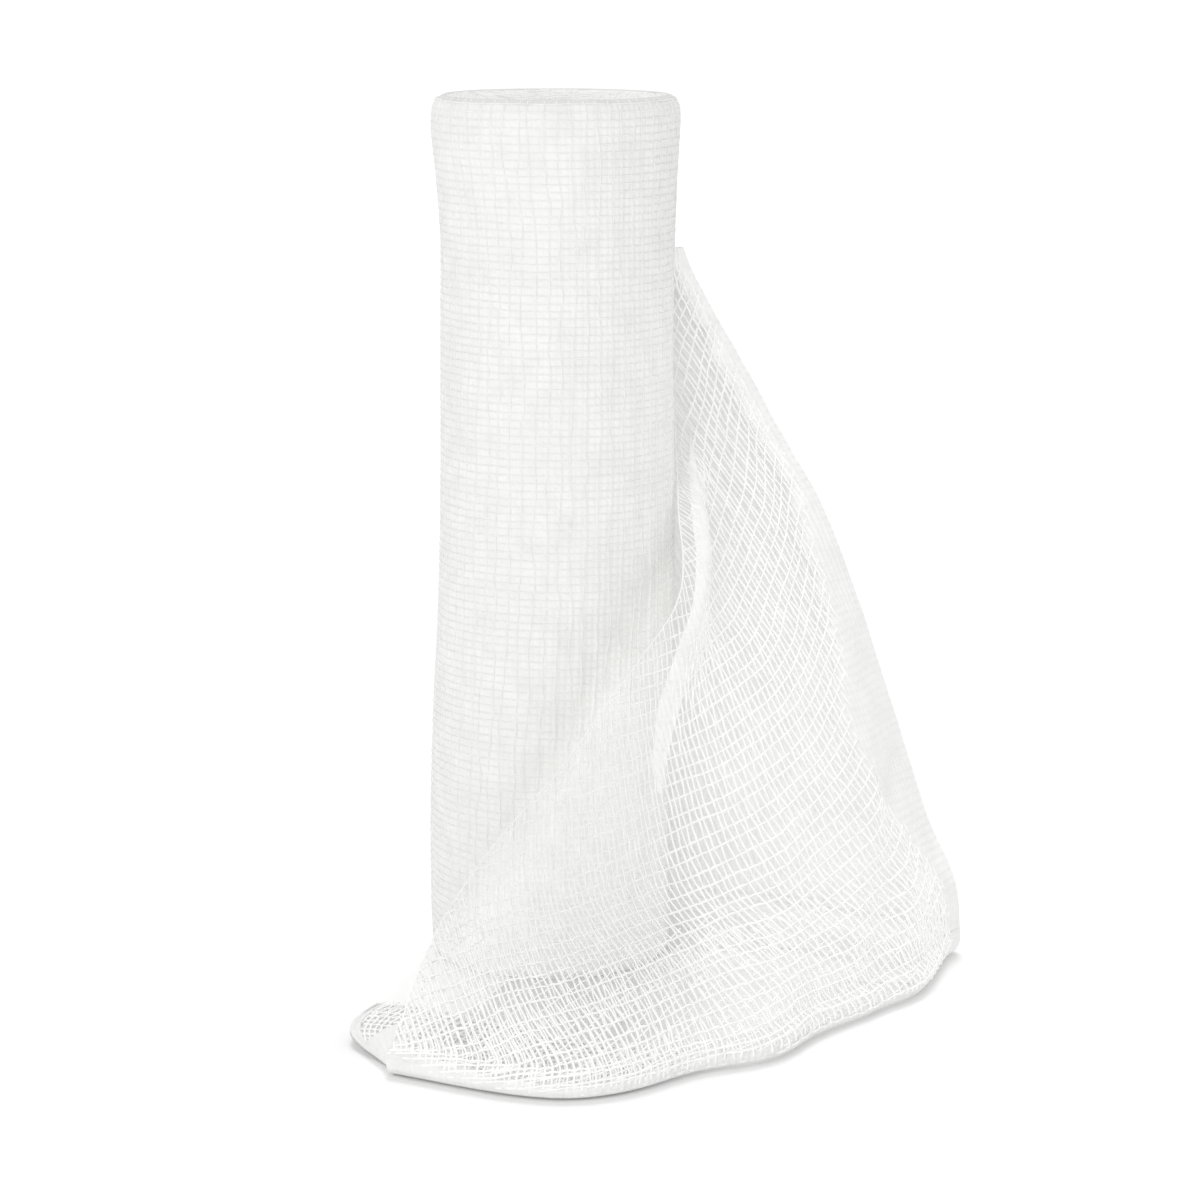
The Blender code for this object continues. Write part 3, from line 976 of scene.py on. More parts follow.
def even_steps(line, step):
    """The line again, in even steps and with its small corners smoothed."""
    lengths = [0.0]
    for start, end in zip(line, line[1:]):
        lengths.append(lengths[-1] + (end[0] - start[0]).length)
    count = max(int(round(lengths[-1] / step)), 2)
    stepped = []
    index = 0
    for number in range(count + 1):
        at = lengths[-1] * number / count
        while index < len(line) - 2 and lengths[index + 1] < at:
            index += 1
        span = max(lengths[index + 1] - lengths[index], 1e-9)
        part = (at - lengths[index]) / span
        start, end = line[index], line[index + 1]
        facing = start[1].lerp(end[1], part).normalized()
        stepped.append((start[0].lerp(end[0], part), facing, between(start[2], end[2], part)))
    for _ in range(2):
        places = [item[0] for item in stepped]
        for number in range(1, len(stepped) - 1):
            smooth = (places[number - 1] + 2.0 * places[number] + places[number + 1]) / 4.0
            stepped[number] = (smooth, stepped[number][1], stepped[number][2])
    return stepped


def uneven(seed, along, length):
    """A smooth random value from -1 to 1 along a thread."""
    place = Vector((along / length, seed * SEED_STRIDES[0], seed * SEED_STRIDES[1]))
    return max(min(noise.noise(place) * 2.0, 1.0), -1.0)


def ring_faces(first, rings, sides, closed=False):
    """The faces that join each ring of corners to the next one."""
    faces = []
    for ring in range(rings if closed else rings - 1):
        here = first + ring * sides
        there = first + (ring + 1) % rings * sides
        for side in range(sides):
            on = (side + 1) % sides
            faces.append((here + side, here + on, there + on, there + side))
    return faces


class ThreadMesh:
    """Many threads joined in one mesh."""

    def __init__(self, sides):
        self.sides = sides
        self.corners = []
        self.faces = []

    def add(self, centres, facings, widths, closed=False):
        """One thread round its centre line. Its ends are open, as cut threads are."""
        count = len(centres)
        if count < 2:
            return
        first = len(self.corners)
        for index in range(count):
            after = centres[(index + 1) % count if closed else min(index + 1, count - 1)]
            before = centres[(index - 1) % count if closed else max(index - 1, 0)]
            ahead = (after - before).normalized()
            sideways = ahead.cross(facings[index]).normalized()
            outward = sideways.cross(ahead)
            for side in range(self.sides):
                turn = 2.0 * math.pi * (side + 0.5) / self.sides
                offset = sideways * math.cos(turn) + outward * math.sin(turn)
                self.corners.append((centres[index] + offset * widths[index] / 2.0) * MM)
        self.faces += ring_faces(first, count, self.sides, closed)

    def made(self, name, material):
        return mesh_piece(name, self.corners, self.faces, material)


class Patch:
    """Grids of cloth joined in one mesh. A place is its point, and its lengths across and down the cloth."""

    def __init__(self):
        self.corners = []
        self.weave = []
        self.faces = []

    def add(self, lines):
        first = len(self.corners)
        width = len(lines[0])
        for line in lines:
            for place, across, down in line:
                self.corners.append(Vector((place.x, place.y, max(place.z, LEAST_HEIGHT))) * MM)
                self.weave.append((across * MM, down * MM))
        for row in range(len(lines) - 1):
            for column in range(width - 1):
                a = first + row * width + column
                self.faces.append((a, a + 1, a + 1 + width, a + width))

    def add_on(self, cloth, lines):
        """Adds a grid that lies on the cloth: each place by its share, its row and its lift off the cloth."""
        grid = []
        for line in lines:
            laid = []
            for share, row, lift in line:
                place, facing, facts = cloth.at_share(share, row)
                laid.append((place + facing * lift, facts[1], facts[2]))
            grid.append(laid)
        self.add(grid)
        return grid

    def made(self, name, material):
        return mesh_piece(name, self.corners, self.faces, material, self.weave)


def mesh_piece(name, corners, faces, material, weave=None):
    """A mesh piece. The weave map gives each corner's place on the cloth, in metres along its two ways."""
    mesh = bpy.data.meshes.new(name)
    mesh.from_pydata([tuple(corner) for corner in corners], [], faces)
    if weave:
        layer = mesh.uv_layers.new(name="weave")
        for loop in mesh.loops:
            layer.data[loop.index].uv = weave[loop.vertex_index]
    mesh.materials.append(material)
    mesh.shade_smooth()
    mesh.update()
    piece = bpy.data.objects.new(name, mesh)
    bpy.context.scene.collection.objects.link(piece)
    return piece


def add_node(tree, kind, settings=None, links=None):
    """Adds a node with its settings and the links into it. A number or a name picks the input socket."""
    node = tree.nodes.new(kind)
    for key, value in (settings or {}).items():
        if isinstance(key, int) or key in node.inputs:
            node.inputs[key].default_value = value
        else:
            setattr(node, key, value)
    for key, socket in (links or {}).items():
        tree.links.new(socket, node.inputs[key])
    return node


def new_material(name):
    material = bpy.data.materials.new(name)
    material.use_nodes = True
    tree = material.node_tree
    return material, tree, tree.nodes["Principled BSDF"]


def shaded(colour, share):
    """The colour, darkened to a share of itself."""
    return (colour[0] * share, colour[1] * share, colour[2] * share, 1.0)


def bleached_cotton_yarn(name, colour, texture=YARN_TEXTURE, glow=0.0):
    """Bleached cotton yarn, carded and loosely spun: matt, faintly bright at its edges from loose fibres, and
    never quite one white along its length. Thin yarn lets some light through, so that it is never dark on the
    side away from the light: a weak glow stands for that."""
    material, tree, shader = new_material(name)
    tone_size, fuzz_size, fuzz_depth = (size * MM for size in texture)
    place = add_node(tree, "ShaderNodeTexCoord").outputs["Object"]
    tone = add_node(tree, "ShaderNodeTexNoise", {"Scale": 1.0 / tone_size, "Detail": 3.0}, {"Vector": place})
    ramp = add_node(tree, "ShaderNodeValToRGB", {}, {"Fac": tone.outputs["Fac"]})
    for element, position, share in zip(ramp.color_ramp.elements, (0.3, 0.7), (0.93, 1.0)):
        element.position = position
        element.color = shaded(colour, share)
    fuzz = add_node(tree, "ShaderNodeTexNoise", {"Scale": 1.0 / fuzz_size, "Detail": 2.0}, {"Vector": place})
    relief = {"Strength": 0.6, "Distance": fuzz_depth}
    bump = add_node(tree, "ShaderNodeBump", relief, {"Height": fuzz.outputs["Fac"]})
    tree.links.new(ramp.outputs["Color"], shader.inputs["Base Color"])
    tree.links.new(bump.outputs["Normal"], shader.inputs["Normal"])
    shader.inputs["Roughness"].default_value = 0.9
    shader.inputs["IOR"].default_value = 1.5
    shader.inputs["Specular IOR Level"].default_value = 0.25
    shader.inputs["Sheen Weight"].default_value = 0.12
    shader.inputs["Sheen Roughness"].default_value = 0.5
    shader.inputs["Emission Color"].default_value = (1.0, 1.0, 1.0, 1.0)
    shader.inputs["Emission Strength"].default_value = glow
    return material


def gauze_plies(name, colour, sizes, glow=0.0):
    """Close plies of bleached cotton gauze: the holes of one ply lie over the threads of the next, so that
    the eye sees a soft matt surface with a faint, uneven weave."""
    material = bleached_cotton_yarn(name, colour, PLY_TEXTURE, glow)
    tree = material.node_tree
    weave = add_node(tree, "ShaderNodeUVMap", {"uv_map": "weave"}).outputs["UV"]
    waves = {"Scale": PLY_BENDS_TO_THE_METRE, "Detail": 2.0}
    stray = add_node(tree, "ShaderNodeTexNoise", waves, {"Vector": weave}).outputs["Color"]
    bend = {"operation": "MULTIPLY_ADD", 1: (PLY_WEAVE_BEND * MM, PLY_WEAVE_BEND * MM, 0.0)}
    bent = add_node(tree, "ShaderNodeVectorMath", bend, {0: stray, 2: weave})
    ways = add_node(tree, "ShaderNodeSeparateXYZ", {}, {"Vector": bent.outputs["Vector"]})
    ridges = {}
    for key, way, pitch in ((0, "X", sizes.wide_pitch / 2.0), (1, "Y", sizes.close_pitch)):
        turns = {"operation": "MULTIPLY", 1: 2.0 * math.pi / pitch}
        turn = add_node(tree, "ShaderNodeMath", turns, {0: ways.outputs[way]}).outputs["Value"]
        ridges[key] = add_node(tree, "ShaderNodeMath", {"operation": "SINE"}, {0: turn}).outputs["Value"]
    height = add_node(tree, "ShaderNodeMath", {"operation": "ADD"}, ridges).outputs["Value"]
    fuzz = tree.nodes["Bump"].outputs["Normal"]
    depth = {"Strength": 0.5, "Distance": PLY_WEAVE_DEPTH * MM}
    relief = add_node(tree, "ShaderNodeBump", depth, {"Height": height, "Normal": fuzz})
    tree.links.new(relief.outputs["Normal"], tree.nodes["Principled BSDF"].inputs["Normal"])
    return material


def glow_where(material, groups):
    """Lets a material's glow show only where the groups of ramps say."""
    tree = material.node_tree
    place = add_node(tree, "ShaderNodeTexCoord").outputs["Object"]
    multiplied = {"operation": "MULTIPLY", 1: 1.0}
    larger = {"operation": "MAXIMUM", 1: 0.0}
    strongest = {}
    for group in groups:
        product = {}
        for way, start, whole, least, most in group:
            along = add_node(tree, "ShaderNodeVectorMath", {"operation": "DOT_PRODUCT", 1: way}, {0: place})
            ends = {"From Min": start * MM, "From Max": whole * MM, "To Min": least, "To Max": most}
            ramp = add_node(tree, "ShaderNodeMapRange", ends, {"Value": along.outputs["Value"]})
            links = {0: ramp.outputs["Result"], **product}
            product[1] = add_node(tree, "ShaderNodeMath", multiplied, links).outputs["Value"]
        links = {0: product[1], **strongest}
        strongest[1] = add_node(tree, "ShaderNodeMath", larger, links).outputs["Value"]
    tree.links.new(strongest[1], tree.nodes["Principled BSDF"].inputs["Emission Color"])


def matt_paper_floor(colour):
    """A matt white paper floor: smooth, with no gloss, so that it shows only soft shadows."""
    material, tree, shader = new_material("matt_paper_floor")
    place = add_node(tree, "ShaderNodeTexCoord").outputs["Object"]
    grain = add_node(tree, "ShaderNodeTexNoise", {"Scale": 900.0}, {"Vector": place}).outputs["Fac"]
    bump = add_node(tree, "ShaderNodeBump", {"Strength": 0.05, "Distance": 0.0001}, {"Height": grain})
    shader.inputs["Base Color"].default_value = (*colour, 1.0)
    shader.inputs["Roughness"].default_value = 0.95
    shader.inputs["Specular IOR Level"].default_value = 0.1
    shader.inputs["Emission Color"].default_value = (1.0, 1.0, 1.0, 1.0)
    shader.inputs["Emission Strength"].default_value = 0.01
    tree.links.new(bump.outputs["Normal"], shader.inputs["Normal"])
    return material


def lay(piece):
    """A piece of the gauze rides on the one body."""
    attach(piece, BODY)


class GAUZE_OT_stage(bpy.types.Operator):
    """Sets up the photo's camera, the pale floor and the soft light"""

    bl_idname = "gauze.stage"
    bl_label = "Camera, floor and light"

    def execute(self, context):
        scene = context.scene
        lens = bpy.data.cameras.new("photo_camera")
        lens.lens = CAMERA_LENS
        lens.sensor_width = CAMERA_SENSOR
        lens.clip_start, lens.clip_end = CAMERA_CLIP
        camera = bpy.data.objects.new("photo_camera", lens)
        camera.location = CAMERA_PLACE
        camera.rotation_euler = (CAMERA_TILT, 0.0, 0.0)
        scene.collection.objects.link(camera)
        scene.camera = camera

        turns = [2.0 * math.pi * side / FLOOR_SIDES for side in range(FLOOR_SIDES)]
        around = [(math.cos(turn), math.sin(turn)) for turn in turns]
        corners = [(radius * x, radius * y, 0.0) for radius in FLOOR_RINGS for x, y in around]
        faces = ring_faces(0, len(FLOOR_RINGS), FLOOR_SIDES)
        faces.append(tuple(range(len(corners) - FLOOR_SIDES, len(corners))))
        floor = mesh_piece("paper_floor", corners, faces, matt_paper_floor(scene.gauze_roll_colours.floor))

        world = bpy.data.worlds.new("studio")
        world.use_nodes = True
        background = world.node_tree.nodes["Background"]
        background.inputs["Color"].default_value = (1.0, 1.0, 1.0, 1.0)
        background.inputs["Strength"].default_value = STUDIO_LIGHT
        scene.world = world
        for name, way, spread, strength in SOFT_LIGHTS:
            light = bpy.data.lights.new(name, "SUN")
            light.angle = math.radians(spread)
            light.energy = strength
            item = bpy.data.objects.new(name, light)
            item.location = way
            item.rotation_euler = (-Vector(way)).to_track_quat("-Z", "Y").to_euler()
            scene.collection.objects.link(item)
        scene.view_settings.view_transform = "Standard"
        return {"FINISHED"}


def showing(angle):
    """How strongly the uprights and ripples show round the roll: most towards the drape."""
    return 0.5 + 0.5 * math.cos(angle - UPRIGHT_SHOWS)


def ripple(angle, height):
    """How far a ripple of the outer turn lies below its crests."""
    sway = angle + RIPPLE_SWAY * noise.noise(Vector((angle, 0.0, height / RIPPLE_SWAY_LENGTH)))
    around = MEAN_RADIUS / RIPPLE_WIDTH
    wave = noise.noise(Vector((around * math.cos(sway), around * math.sin(sway), height / RIPPLE_LENGTH)))
    strength = RIPPLE_LEAST + (1.0 - RIPPLE_LEAST) * showing(angle)
    return RIPPLE_DEPTH * strength * (0.5 - wave)


def turn_point(angle, height, lift):
    """A place on the roll's outer turn, and its facing."""
    radius = roll_radius(angle, height) - TURN_DEPTH + lift - ripple(angle, height)
    facing = Vector((math.cos(angle), math.sin(angle), 0.0))
    return Vector((roll_lean(height), 0.0, height)) + facing * radius, facing


class GAUZE_OT_wound_roll(bpy.types.Operator):
    """Makes the wound roll with the turns that show on its ends"""

    bl_idname = "gauze.wound_roll"
    bl_label = "Wound roll"

    def execute(self, context):
        colours = context.scene.gauze_roll_colours
        sizes = context.scene.gauze_roll_sizes
        material = gauze_plies("bleached_cotton_gauze_wound", colours.wound_cotton, sizes, THROUGH_GLOW)
        glow_where(material, LIT_THROUGH)
        lines = self.lines()
        corners, weave = [], []
        for height, share in lines:
            for side in range(END_SIDES):
                corners.append(self.surface(2.0 * math.pi * side / END_SIDES, height, share) * MM)
                folded = min(side, END_SIDES - side) * 2.0 * math.pi / END_SIDES
                weave.append((folded * MEAN_RADIUS * MM, (height + (1.0 - share) * END_WEAVE) * MM))
        faces = ring_faces(0, len(lines), END_SIDES)
        faces.append(tuple(reversed(range(END_SIDES))))
        faces.append(tuple(range(len(corners) - END_SIDES, len(corners))))
        roll = mesh_piece("wound_roll_core", corners, faces, material, weave)
        # The faces of the two ends take the darker copy: painted shade
        tone = shaded(colours.wound_cotton, END_PAINTED_SHADE)[:3]
        roll.data.materials.append(gauze_plies("bleached_cotton_gauze_ends_painted_shade", tone, sizes))
        for face in roll.data.polygons:
            if abs(face.normal.z) > END_FACING:
                face.material_index = 1
        lay(roll)
        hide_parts("wound_roll")
        return {"FINISHED"}

    def lines(self):
        """The height of each line of the surface and its share of the radius: from the middle of the foot out
        to the rim, up the side, and in to the middle of the top."""
        parts = int(row_at(ROLL_OUTLINE, 0.0)[1] / END_TURN_PITCH * END_TURN_PARTS)
        shares = [part / parts for part in range(1, parts)]
        heights = {BANDAGE_WIDTH * i / SIDE_LINES for i in range(SIDE_LINES + 1)}
        heights |= {row[0] for row in ROLL_OUTLINE}
        foot = [(0.0, share) for share in shares]
        top = [(BANDAGE_WIDTH, share) for share in reversed(shares)]
        return foot + [(height, 1.0) for height in sorted(heights)] + top

    def surface(self, angle, height, share):
        """A place of the roll under its outer turn, or on one of its ends."""
        radius = share * (roll_radius(angle, height) - CORE_DEPTH - ripple(angle, height))
        up = height
        if share < 1.0:
            turn = radius / END_TURN_PITCH - angle / (2.0 * math.pi)
            fade = smooth_step((1.0 - share) * END_FADE)
            sink = END_TURN_DEPTH * (0.5 - 0.5 * math.cos(2.0 * math.pi * turn)) * fade
            wave = noise.noise(Vector((radius * END_WAVES[0], angle * END_WAVES[1], height)))
            sink += END_UNEVENNESS * fade * (1.0 + wave)
            at_foot = height < BANDAGE_WIDTH / 2.0
            up = height + sink if at_foot else height - sink - END_DISH * (1.0 - share * share)
        return Vector((roll_lean(height) + radius * math.cos(angle), radius * math.sin(angle), up))


class GAUZE_OT_outer_turn(bpy.types.Operator):
    """Lays the threads of the roll's outer turn: the close ones round it and the wide ones along it"""

    bl_idname = "gauze.outer_turn"
    bl_label = "Threads of the outer turn"

    def execute(self, context):
        sizes = context.scene.gauze_roll_sizes
        colour = context.scene.gauze_roll_colours.wound_cotton
        material = bleached_cotton_yarn("bleached_cotton_yarn_wound", colour, glow=THROUGH_GLOW)
        glow_where(material, LIT_THROUGH)
        lay(self.rings(sizes).made("wound_close_threads", material))
        lay(self.uprights(sizes).made("wound_wide_threads", material))
        return {"FINISHED"}

    def rings(self, sizes):
        pitch = sizes.close_pitch / MM
        width = sizes.wound_thread_width / MM
        around, _, up = RING_WAVES
        threads = ThreadMesh(TURN_SIDES)
        for ring in range(int((BANDAGE_WIDTH - 2.0 * RIM_CLEARANCE) / pitch) + 1):
            middle = RIM_CLEARANCE + pitch * ring
            steps = int(2.0 * math.pi * row_at(ROLL_OUTLINE, middle)[1] / RING_STEP)
            line = []
            for step in range(steps):
                angle = 2.0 * math.pi * step / steps
                wave = noise.noise(Vector((math.cos(angle) * around, math.sin(angle) * around, middle * up)))
                height = min(max(middle + RING_WANDER * wave, FOOT_MARGIN), BANDAGE_WIDTH - TOP_MARGIN)
                slub = SLUB_SHARE * uneven(ring + RING_SEED, angle * MEAN_RADIUS, SLUB_LENGTH)
                line.append((*turn_point(angle, height, 0.0), width * (1.0 + slub)))
            threads.add(*zip(*line), closed=True)
        return threads

    def uprights(self, sizes):
        width = sizes.wound_thread_width / MM
        threads = ThreadMesh(TURN_SIDES)
        count = int(round(2.0 * math.pi * MEAN_RADIUS / (sizes.wide_pitch / MM)))
        steps = int((BANDAGE_WIDTH - 1.0) / UPRIGHT_STEP)
        for upright in range(count):
            line = []
            for step in range(steps + 1):
                height = FOOT_MARGIN + (BANDAGE_WIDTH - 2.0 * FOOT_MARGIN) * step / steps
                wanders = [most * uneven(upright + seed, height, run) for most, run, seed in UPRIGHT_WANDERS]
                angle = 2.0 * math.pi * upright / count + sum(wanders)
                crossing = math.pi * (height - RIM_CLEARANCE) / (sizes.close_pitch / MM) + math.pi * upright
                sink = UPRIGHT_SINK * (1.0 - showing(angle))
                slub = SLUB_SHARE * uneven(upright + UPRIGHT_SEED, height, SLUB_LENGTH)
                place = turn_point(angle, height, TURN_RISE * math.cos(crossing) - sink)
                line.append((*place, width * (1.0 + slub)))
            threads.add(*zip(*line))
        return threads


def rag(along, seed):
    """How far a ragged edge strays, in millimetres."""
    return sum(depth * noise.noise(Vector((along / length, seed, depth))) for depth, length in RAGS)


def band_reach(down):
    """How far the close plies reach from the fold on the front."""
    return max(row_at(BAND, down)[1] + rag(down, BAND_SEED), BAND_LEAST)


def rim_row(share):
    """The first row of the hem's rim."""
    return row_at(RIM, share)[1] + RIM_RAG * rag(share * RIM_LENGTH, RIM_SEED)


def hides_threads(facts):
    """Whether a place lies in the soft plies that show no threads."""
    _, across, down, share, row = facts
    in_band = -(band_reach(down) - BAND_COVER) <= across <= BAND_BACK
    in_rim = rim_row(share) + RIM_COVER <= row <= RIM_LAST_ROW and share <= RIM[-1][0]
    in_pocket_rim = row >= RIM_LAST_ROW and share <= POCKET_RIM_SHARE
    return in_band or in_rim or in_pocket_rim


def outside_inner_ply(facts, stray):
    """Whether a place lies outside the inner ply near the hem, whose upper end is ragged."""
    _, across, down, _, row = facts
    return down < DOUBLE_DOWN + stray * DOUBLE_STRAY or row > RIM_LAST_ROW or across > 0.0


def pitch_shifts(picker, most):
    """How far each thread lies off its even place, as a share of the pitch."""
    return {level: picker.uniform(-PITCH_UNEVENNESS, PITCH_UNEVENNESS) for level in range(-most, most + 1)}


def loose_threads(threads, values, others, seed, step, rise, width):
    """The threads of one way of the loose end."""
    picker = random.Random(seed)
    shifts = pitch_shifts(picker, OUTER_LEVELS)
    add_threads(threads, traced_threads(values, others, shifts.get), picker, seed, step, rise, width)


def add_threads(threads, lines, picker, seed, step, rise, width, left_out=None):
    """Adds threads that rise and fall where the others cross them, and that stop where they are hidden or
    left out. Each has a stray of its own, by which its end may differ from the next one's."""
    for level, line in lines:
        line = even_steps(line, step)
        parity = 1.0 if level % 2 else -1.0
        centres, facings, widths = [], [], []
        stray = picker.uniform(0.0, STRAY)
        for index, (place, facing, facts) in enumerate(line):
            if hides_threads(facts) or (left_out and left_out(facts, stray)):
                threads.add(centres, facings, widths)
                centres, facings, widths = [], [], []
                stray = picker.uniform(0.0, STRAY)
                continue
            along = index * step
            after = line[min(index + 1, len(line) - 1)][0]
            before = line[max(index - 1, 0)][0]
            sideways = (after - before).cross(facing).normalized()
            wander = WANDER * uneven(level + seed * WANDER_SEED_STEP, along, WANDER_LENGTH)
            over = rise * parity * math.cos(math.pi * facts[0])
            centre = place + facing * over + sideways * wander
            centre.z = max(centre.z, width / 2.0)
            centres.append(centre)
            facings.append(facing)
            fineness = 1.0 - FRONT_FINENESS * drawn_out(facts)
            widths.append(width * fineness * (1.0 + SLUB_SHARE * uneven(level + seed, along, SLUB_LENGTH)))
        threads.add(centres, facings, widths)


def drawn_out(facts):
    """How far the threads are drawn out fine: where the front hangs over the roll, above its foot."""
    _, _, down, share, _ = facts
    over_roll = 1.0 - smooth_step((share - FRONT_SHARE[0]) / FRONT_SHARE[1])
    return over_roll * (1.0 - smooth_step((down - FRONT_DOWN[0]) / FRONT_DOWN[1]))


class GAUZE_OT_loose_end(bpy.types.Operator):
    bl_idname = "gauze.loose_end"
    bl_label = "Loose end"

    def execute(self, context):
        cloth = drape()
        sizes = context.scene.gauze_roll_sizes
        width = sizes.thread_width / MM
        colour = context.scene.gauze_roll_colours.loose_cotton
        material = bleached_cotton_yarn("bleached_cotton_yarn_loose", colour, glow=YARN_GLOW)
        glow_where(material, YARN_LIT)
        close, wide, double = (ThreadMesh(THREAD_SIDES) for _ in range(3))
        loose_threads(close, cloth.close, cloth.wide, CLOSE_SEED, CLOSE_STEP, CROSSING_RISE, width)
        loose_threads(wide, cloth.wide, cloth.close, WIDE_SEED, WIDE_STEP, -CROSSING_RISE, width)
        self.edge_thread(cloth, wide, width)
        self.double_threads(cloth, double, width)
        close_piece = close.made("loose_close_threads", material)
        wide_piece = wide.made("loose_wide_threads", material)
        double_piece = double.made("loose_inner_threads", material)
        # The hem's rim and the turned-in cloth take darker copies of the cotton: painted shade
        plies, rim, inner, turned_in_painted_shade = (
            make(cloth, gauze_plies("bleached_cotton_gauze_" + name, shaded(colour, tone)[:3], sizes, glow))
            for make, name, tone, glow in (
                (self.close_plies, "plies", 1.0, PLY_GLOW),
                (self.hem_rim, "hem", RIM_PAINTED_SHADE, PLY_GLOW),
                (self.inner_plies, "lit_through", 1.0, INSIDE_GLOW),
                (self.turned_in_plies, "turned_in_painted_shade", TURNED_IN_PAINTED_SHADE, FLOOR_PLY_GLOW),
            )
        )
        for piece in (close_piece, wide_piece, double_piece, plies, rim, inner, turned_in_painted_shade):
            lay(piece)
        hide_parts("loose_end")
        across = (max(cloth.across) - min(cloth.across)) * MM
        down = max(cloth.down) * MM
        cloth.area()
        return {"FINISHED"}

    def double_threads(self, cloth, threads, width):
        """The threads of the inner ply near the hem. It lies a little askew to the outer one."""
        picker = random.Random(DOUBLE_SEEDS[0])
        shifts = pitch_shifts(picker, DOUBLE_LEVELS)
        for values, others in ((cloth.wide, cloth.close), (cloth.close, cloth.wide)):
            slanted = [value + DOUBLE_SLANT * other for value, other in zip(values, others)]
            lines = []
            for level, line in traced_threads(slanted, others, shifts.get):
                under = [(place - facing * DOUBLE_DEPTH, facing, facts) for place, facing, facts in line]
                lines.append((level, under))
            look = (DOUBLE_SEEDS[1], CLOSE_STEP, CROSSING_RISE, width * DOUBLE_WIDTH)
            add_threads(threads, lines, picker, *look, outside_inner_ply)

    def edge_thread(self, cloth, threads, width):
        """The thread that lies along the free edge."""
        line = []
        for row in range(ROWS_ABOVE_HEM * ROW_PARTS):
            place, facing, _ = cloth.at_share(EDGE_THREAD_SHARE, row / ROW_PARTS)
            line.append((place, facing, [0.0]))
        centres, facings, _ = zip(*even_steps(line, WIDE_STEP))
        threads.add(centres, facings, [width * EDGE_THREAD_WIDTH] * len(centres))

    def close_plies(self, cloth, material):
        """The band beside the fold, the back, and the rolled edge."""
        patch = Patch()
        band, edge_roll = [], []
        for row in (PLY_ROW_STEP * i for i in range(int(PLY_LAST_ROW / PLY_ROW_STEP) + 1)):
            down = down_the_cloth(row)
            start = -band_reach(down) - BAND_LEAD
            end = cloth.across[min(int(row * ROW_PARTS) + 1, cloth.rows) * cloth.columns - 1]
            acrosses = [start * (1.0 - i / BAND_FRONT_COLUMNS) for i in range(BAND_FRONT_COLUMNS)]
            acrosses += [end * i / BAND_BACK_COLUMNS for i in range(BAND_BACK_COLUMNS + 1)]
            line = []
            for across in acrosses:
                place, facing, _ = cloth.at_share(cloth.share_at(across, row), row)
                sink = (PLY_DEPTH + PLY_RISE) * smooth_step(across / PLY_FADE) - PLY_RISE
                sink += (EDGE_SINK + PLY_RISE) * (1.0 - smooth_step((across - start) / PLY_RISE_RUN))
                line.append((place - facing * sink, across, down))
            band.append(line)
            if EDGE_ROLL[0][0] <= down <= EDGE_ROLL[-1][0]:
                _, start, end = row_at(EDGE_ROLL, down)
                start += EDGE_ROLL_RAG * rag(down, EDGE_ROLL_SEED)
                line = []
                for part in (i / EDGE_ROLL_COLUMNS for i in range(EDGE_ROLL_COLUMNS + 1)):
                    up = EDGE_ROLL_HEIGHT * math.sin(math.pi * part)
                    line.append((start + (end - start) * part, row, up))
                edge_roll.append(line)
        patch.add(band)
        patch.add_on(cloth, edge_roll)
        return patch.made("loose_close_plies", material)

    def hem_rim(self, cloth, material):
        """The rim of the hem, where the cloth is turned over on itself, and of its pocket."""
        patch = Patch()
        shares = [RIM[-1][0] * i / RIM_COLUMNS for i in range(RIM_COLUMNS + 1)]
        firsts = [rim_row(share) - RIM_LEAD for share in shares]
        lines = []
        for part in (i / RIM_LINES for i in range(RIM_LINES + 1)):
            rise = PLY_RISE - (PLY_RISE + EDGE_SINK) * (1.0 - smooth_step(part * RIM_ROUNDING))
            places = zip(shares, firsts)
            lines.append([(share, first + (RIM_LAST_ROW - first) * part, rise) for share, first in places])
        patch.add_on(cloth, lines)

        lines = []
        for row in POCKET_ROWS:
            reach = POCKET_RIM_SHARE + POCKET_RIM_RAG * rag(row * POCKET_ROW_LENGTH, POCKET_SEED)
            shares = [reach * i / POCKET_RIM_COLUMNS for i in range(POCKET_RIM_COLUMNS + 1)]
            lines.append([(share, row, -POCKET_RIM_DEPTH) for share in shares])
        patch.add_on(cloth, lines)

        # The smooth corner where the free edge turns in to the pocket
        lines = []
        for i in range(CORNER_PARTS + 1):
            _, top_row, floor_row = row_at(CORNER_ROWS, i / CORNER_PARTS)
            top, floor = (cloth.at_share(0.0, row)[0] for row in (top_row, floor_row))
            line = []
            for along in (j / CORNER_PARTS for j in range(CORNER_PARTS + 1)):
                place, facing, facts = cloth.at_share(0.0, ROWS_ABOVE_HEM + HEM_ROWS * along)
                place += facing * PLY_RISE * smooth_step(along * RIM_ROUNDING)
                straight = top.lerp(floor, along) + Vector(CORNER_BULGE) * math.sin(math.pi * along)
                place = place.lerp(straight, smooth_step(i / CORNER_PARTS))
                line.append((place, facts[1] - i * CORNER_SHEAR, facts[2]))
            lines.append(line)
        patch.add(lines)
        return patch.made("loose_hem_rim", material)

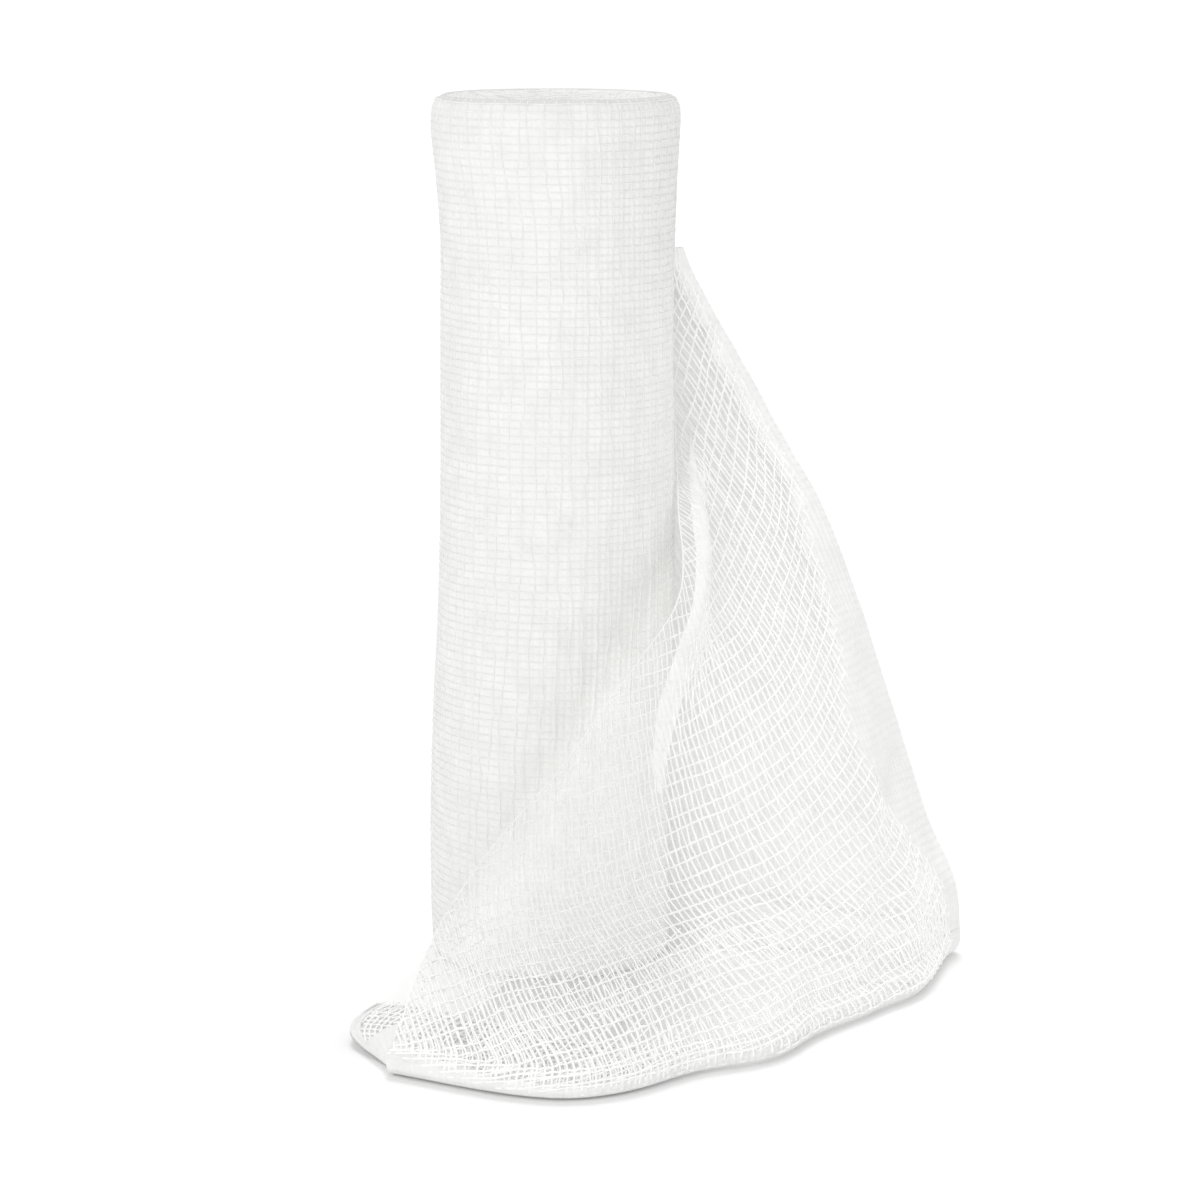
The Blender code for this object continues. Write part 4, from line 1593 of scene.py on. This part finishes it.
    def inner_plies(self, cloth, material):
        """The inner side of the back and of the turned-under cloth below it, down to the floor, which the
        light comes through."""
        patch = Patch()
        lines = []
        for row in range(INNER_PLY_LAST_ROW + 1):
            down = down_the_cloth(row)
            start = -row_at(BAND, down)[1] + INNER_PLY_START
            end = cloth.across[(row * ROW_PARTS + 1) * cloth.columns - 1]
            acrosses = [start + (end - start) * i / BAND_BACK_COLUMNS for i in range(BAND_BACK_COLUMNS + 1)]
            line = []
            for across in acrosses:
                place, facing, _ = cloth.at_share(cloth.share_at(across, row), row)
                line.append((place - facing * INNER_PLY_DEPTH, across, down))
            lines.append(line)
        patch.add(lines)
        shares = [INNER_LIP_SHARE + (1.0 - INNER_LIP_SHARE) * i / PLY_COLUMNS for i in range(PLY_COLUMNS + 1)]
        rows = range(INNER_PLY_LAST_ROW, int(PLY_LAST_ROW) + 1)
        lip = patch.add_on(cloth, [[(share, row, -INNER_PLY_DEPTH) for share in shares] for row in rows])
        floor_line = [(Vector((place.x, place.y, 0.0)), across, down) for place, across, down in lip[-1]]
        patch.add([lip[-1], floor_line])
        return patch.made("loose_inner_plies", material)

    def turned_in_plies(self, cloth, material):
        """The cloth turned in on the floor and in the pocket. It is a darker copy of the cotton, which is
        painted shade, and its glow, weak in front of the roll and strong to the right, is painted light.
        """
        glow_where(material, FLOOR_PLY_LIT)
        patch = Patch()
        lean = roll_lean(0.0)
        lines = []
        for share in (column / FLOOR_PLY_COLUMNS for column in range(FLOOR_PLY_COLUMNS + 1)):
            start, _, _ = cloth.at_share(share, FLOOR_PLY_FIRST_ROW)
            angle = math.atan2(start.y, start.x - lean)
            end = Vector((lean + FLOOR_PLY_RADIUS * math.cos(angle), FLOOR_PLY_RADIUS * math.sin(angle), 0.0))
            line = []
            for row in range(FLOOR_PLY_ROWS + 1):
                place = start.lerp(end, row / FLOOR_PLY_ROWS)
                place.z = FLOOR_PLY_HEIGHT
                length = (end - start).length * row / FLOOR_PLY_ROWS
                line.append((place, length, share * FLOOR_PLY_LENGTH))
            lines.append(line)
        patch.add(lines)
        shares = [POCKET_SHARE * i / PLY_COLUMNS for i in range(PLY_COLUMNS + 1)]
        patch.add_on(cloth, [[(share, row, PLY_DEPTH) for share in shares] for row in POCKET_ROWS[::2]])
        return patch.made("loose_turned_in_plies", material)


class GAUZE_PT_panel(bpy.types.Panel):
    """The gauze roll's operators, sizes and colours"""

    bl_idname = "GAUZE_PT_panel"
    bl_label = "Gauze bandage roll"
    bl_space_type = "VIEW_3D"
    bl_region_type = "UI"
    bl_category = "Gauze roll"

    def draw(self, context):
        for operator in OPERATORS:
            self.layout.operator(operator.bl_idname)
        for group in (context.scene.gauze_roll_sizes, context.scene.gauze_roll_colours):
            for name in group.__annotations__:
                self.layout.prop(group, name)


OPERATORS = (GAUZE_OT_stage, GAUZE_OT_wound_roll, GAUZE_OT_outer_turn, GAUZE_OT_loose_end)
GROUPS = (GauzeRollSizes, GauzeRollColours)


def register():
    for kind in GROUPS + OPERATORS + (GAUZE_PT_panel,):
        bpy.utils.register_class(kind)
    bpy.types.Scene.gauze_roll_sizes = bpy.props.PointerProperty(type=GauzeRollSizes)
    bpy.types.Scene.gauze_roll_colours = bpy.props.PointerProperty(type=GauzeRollColours)


def unregister():
    del bpy.types.Scene.gauze_roll_colours
    del bpy.types.Scene.gauze_roll_sizes
    for kind in reversed(GROUPS + OPERATORS + (GAUZE_PT_panel,)):
        bpy.utils.unregister_class(kind)


def main():
    register()
    bpy.ops.gauze.stage()
    bpy.ops.gauze.wound_roll()
    bpy.ops.gauze.outer_turn()
    bpy.ops.gauze.loose_end()


if __name__ == "__main__":
    main()
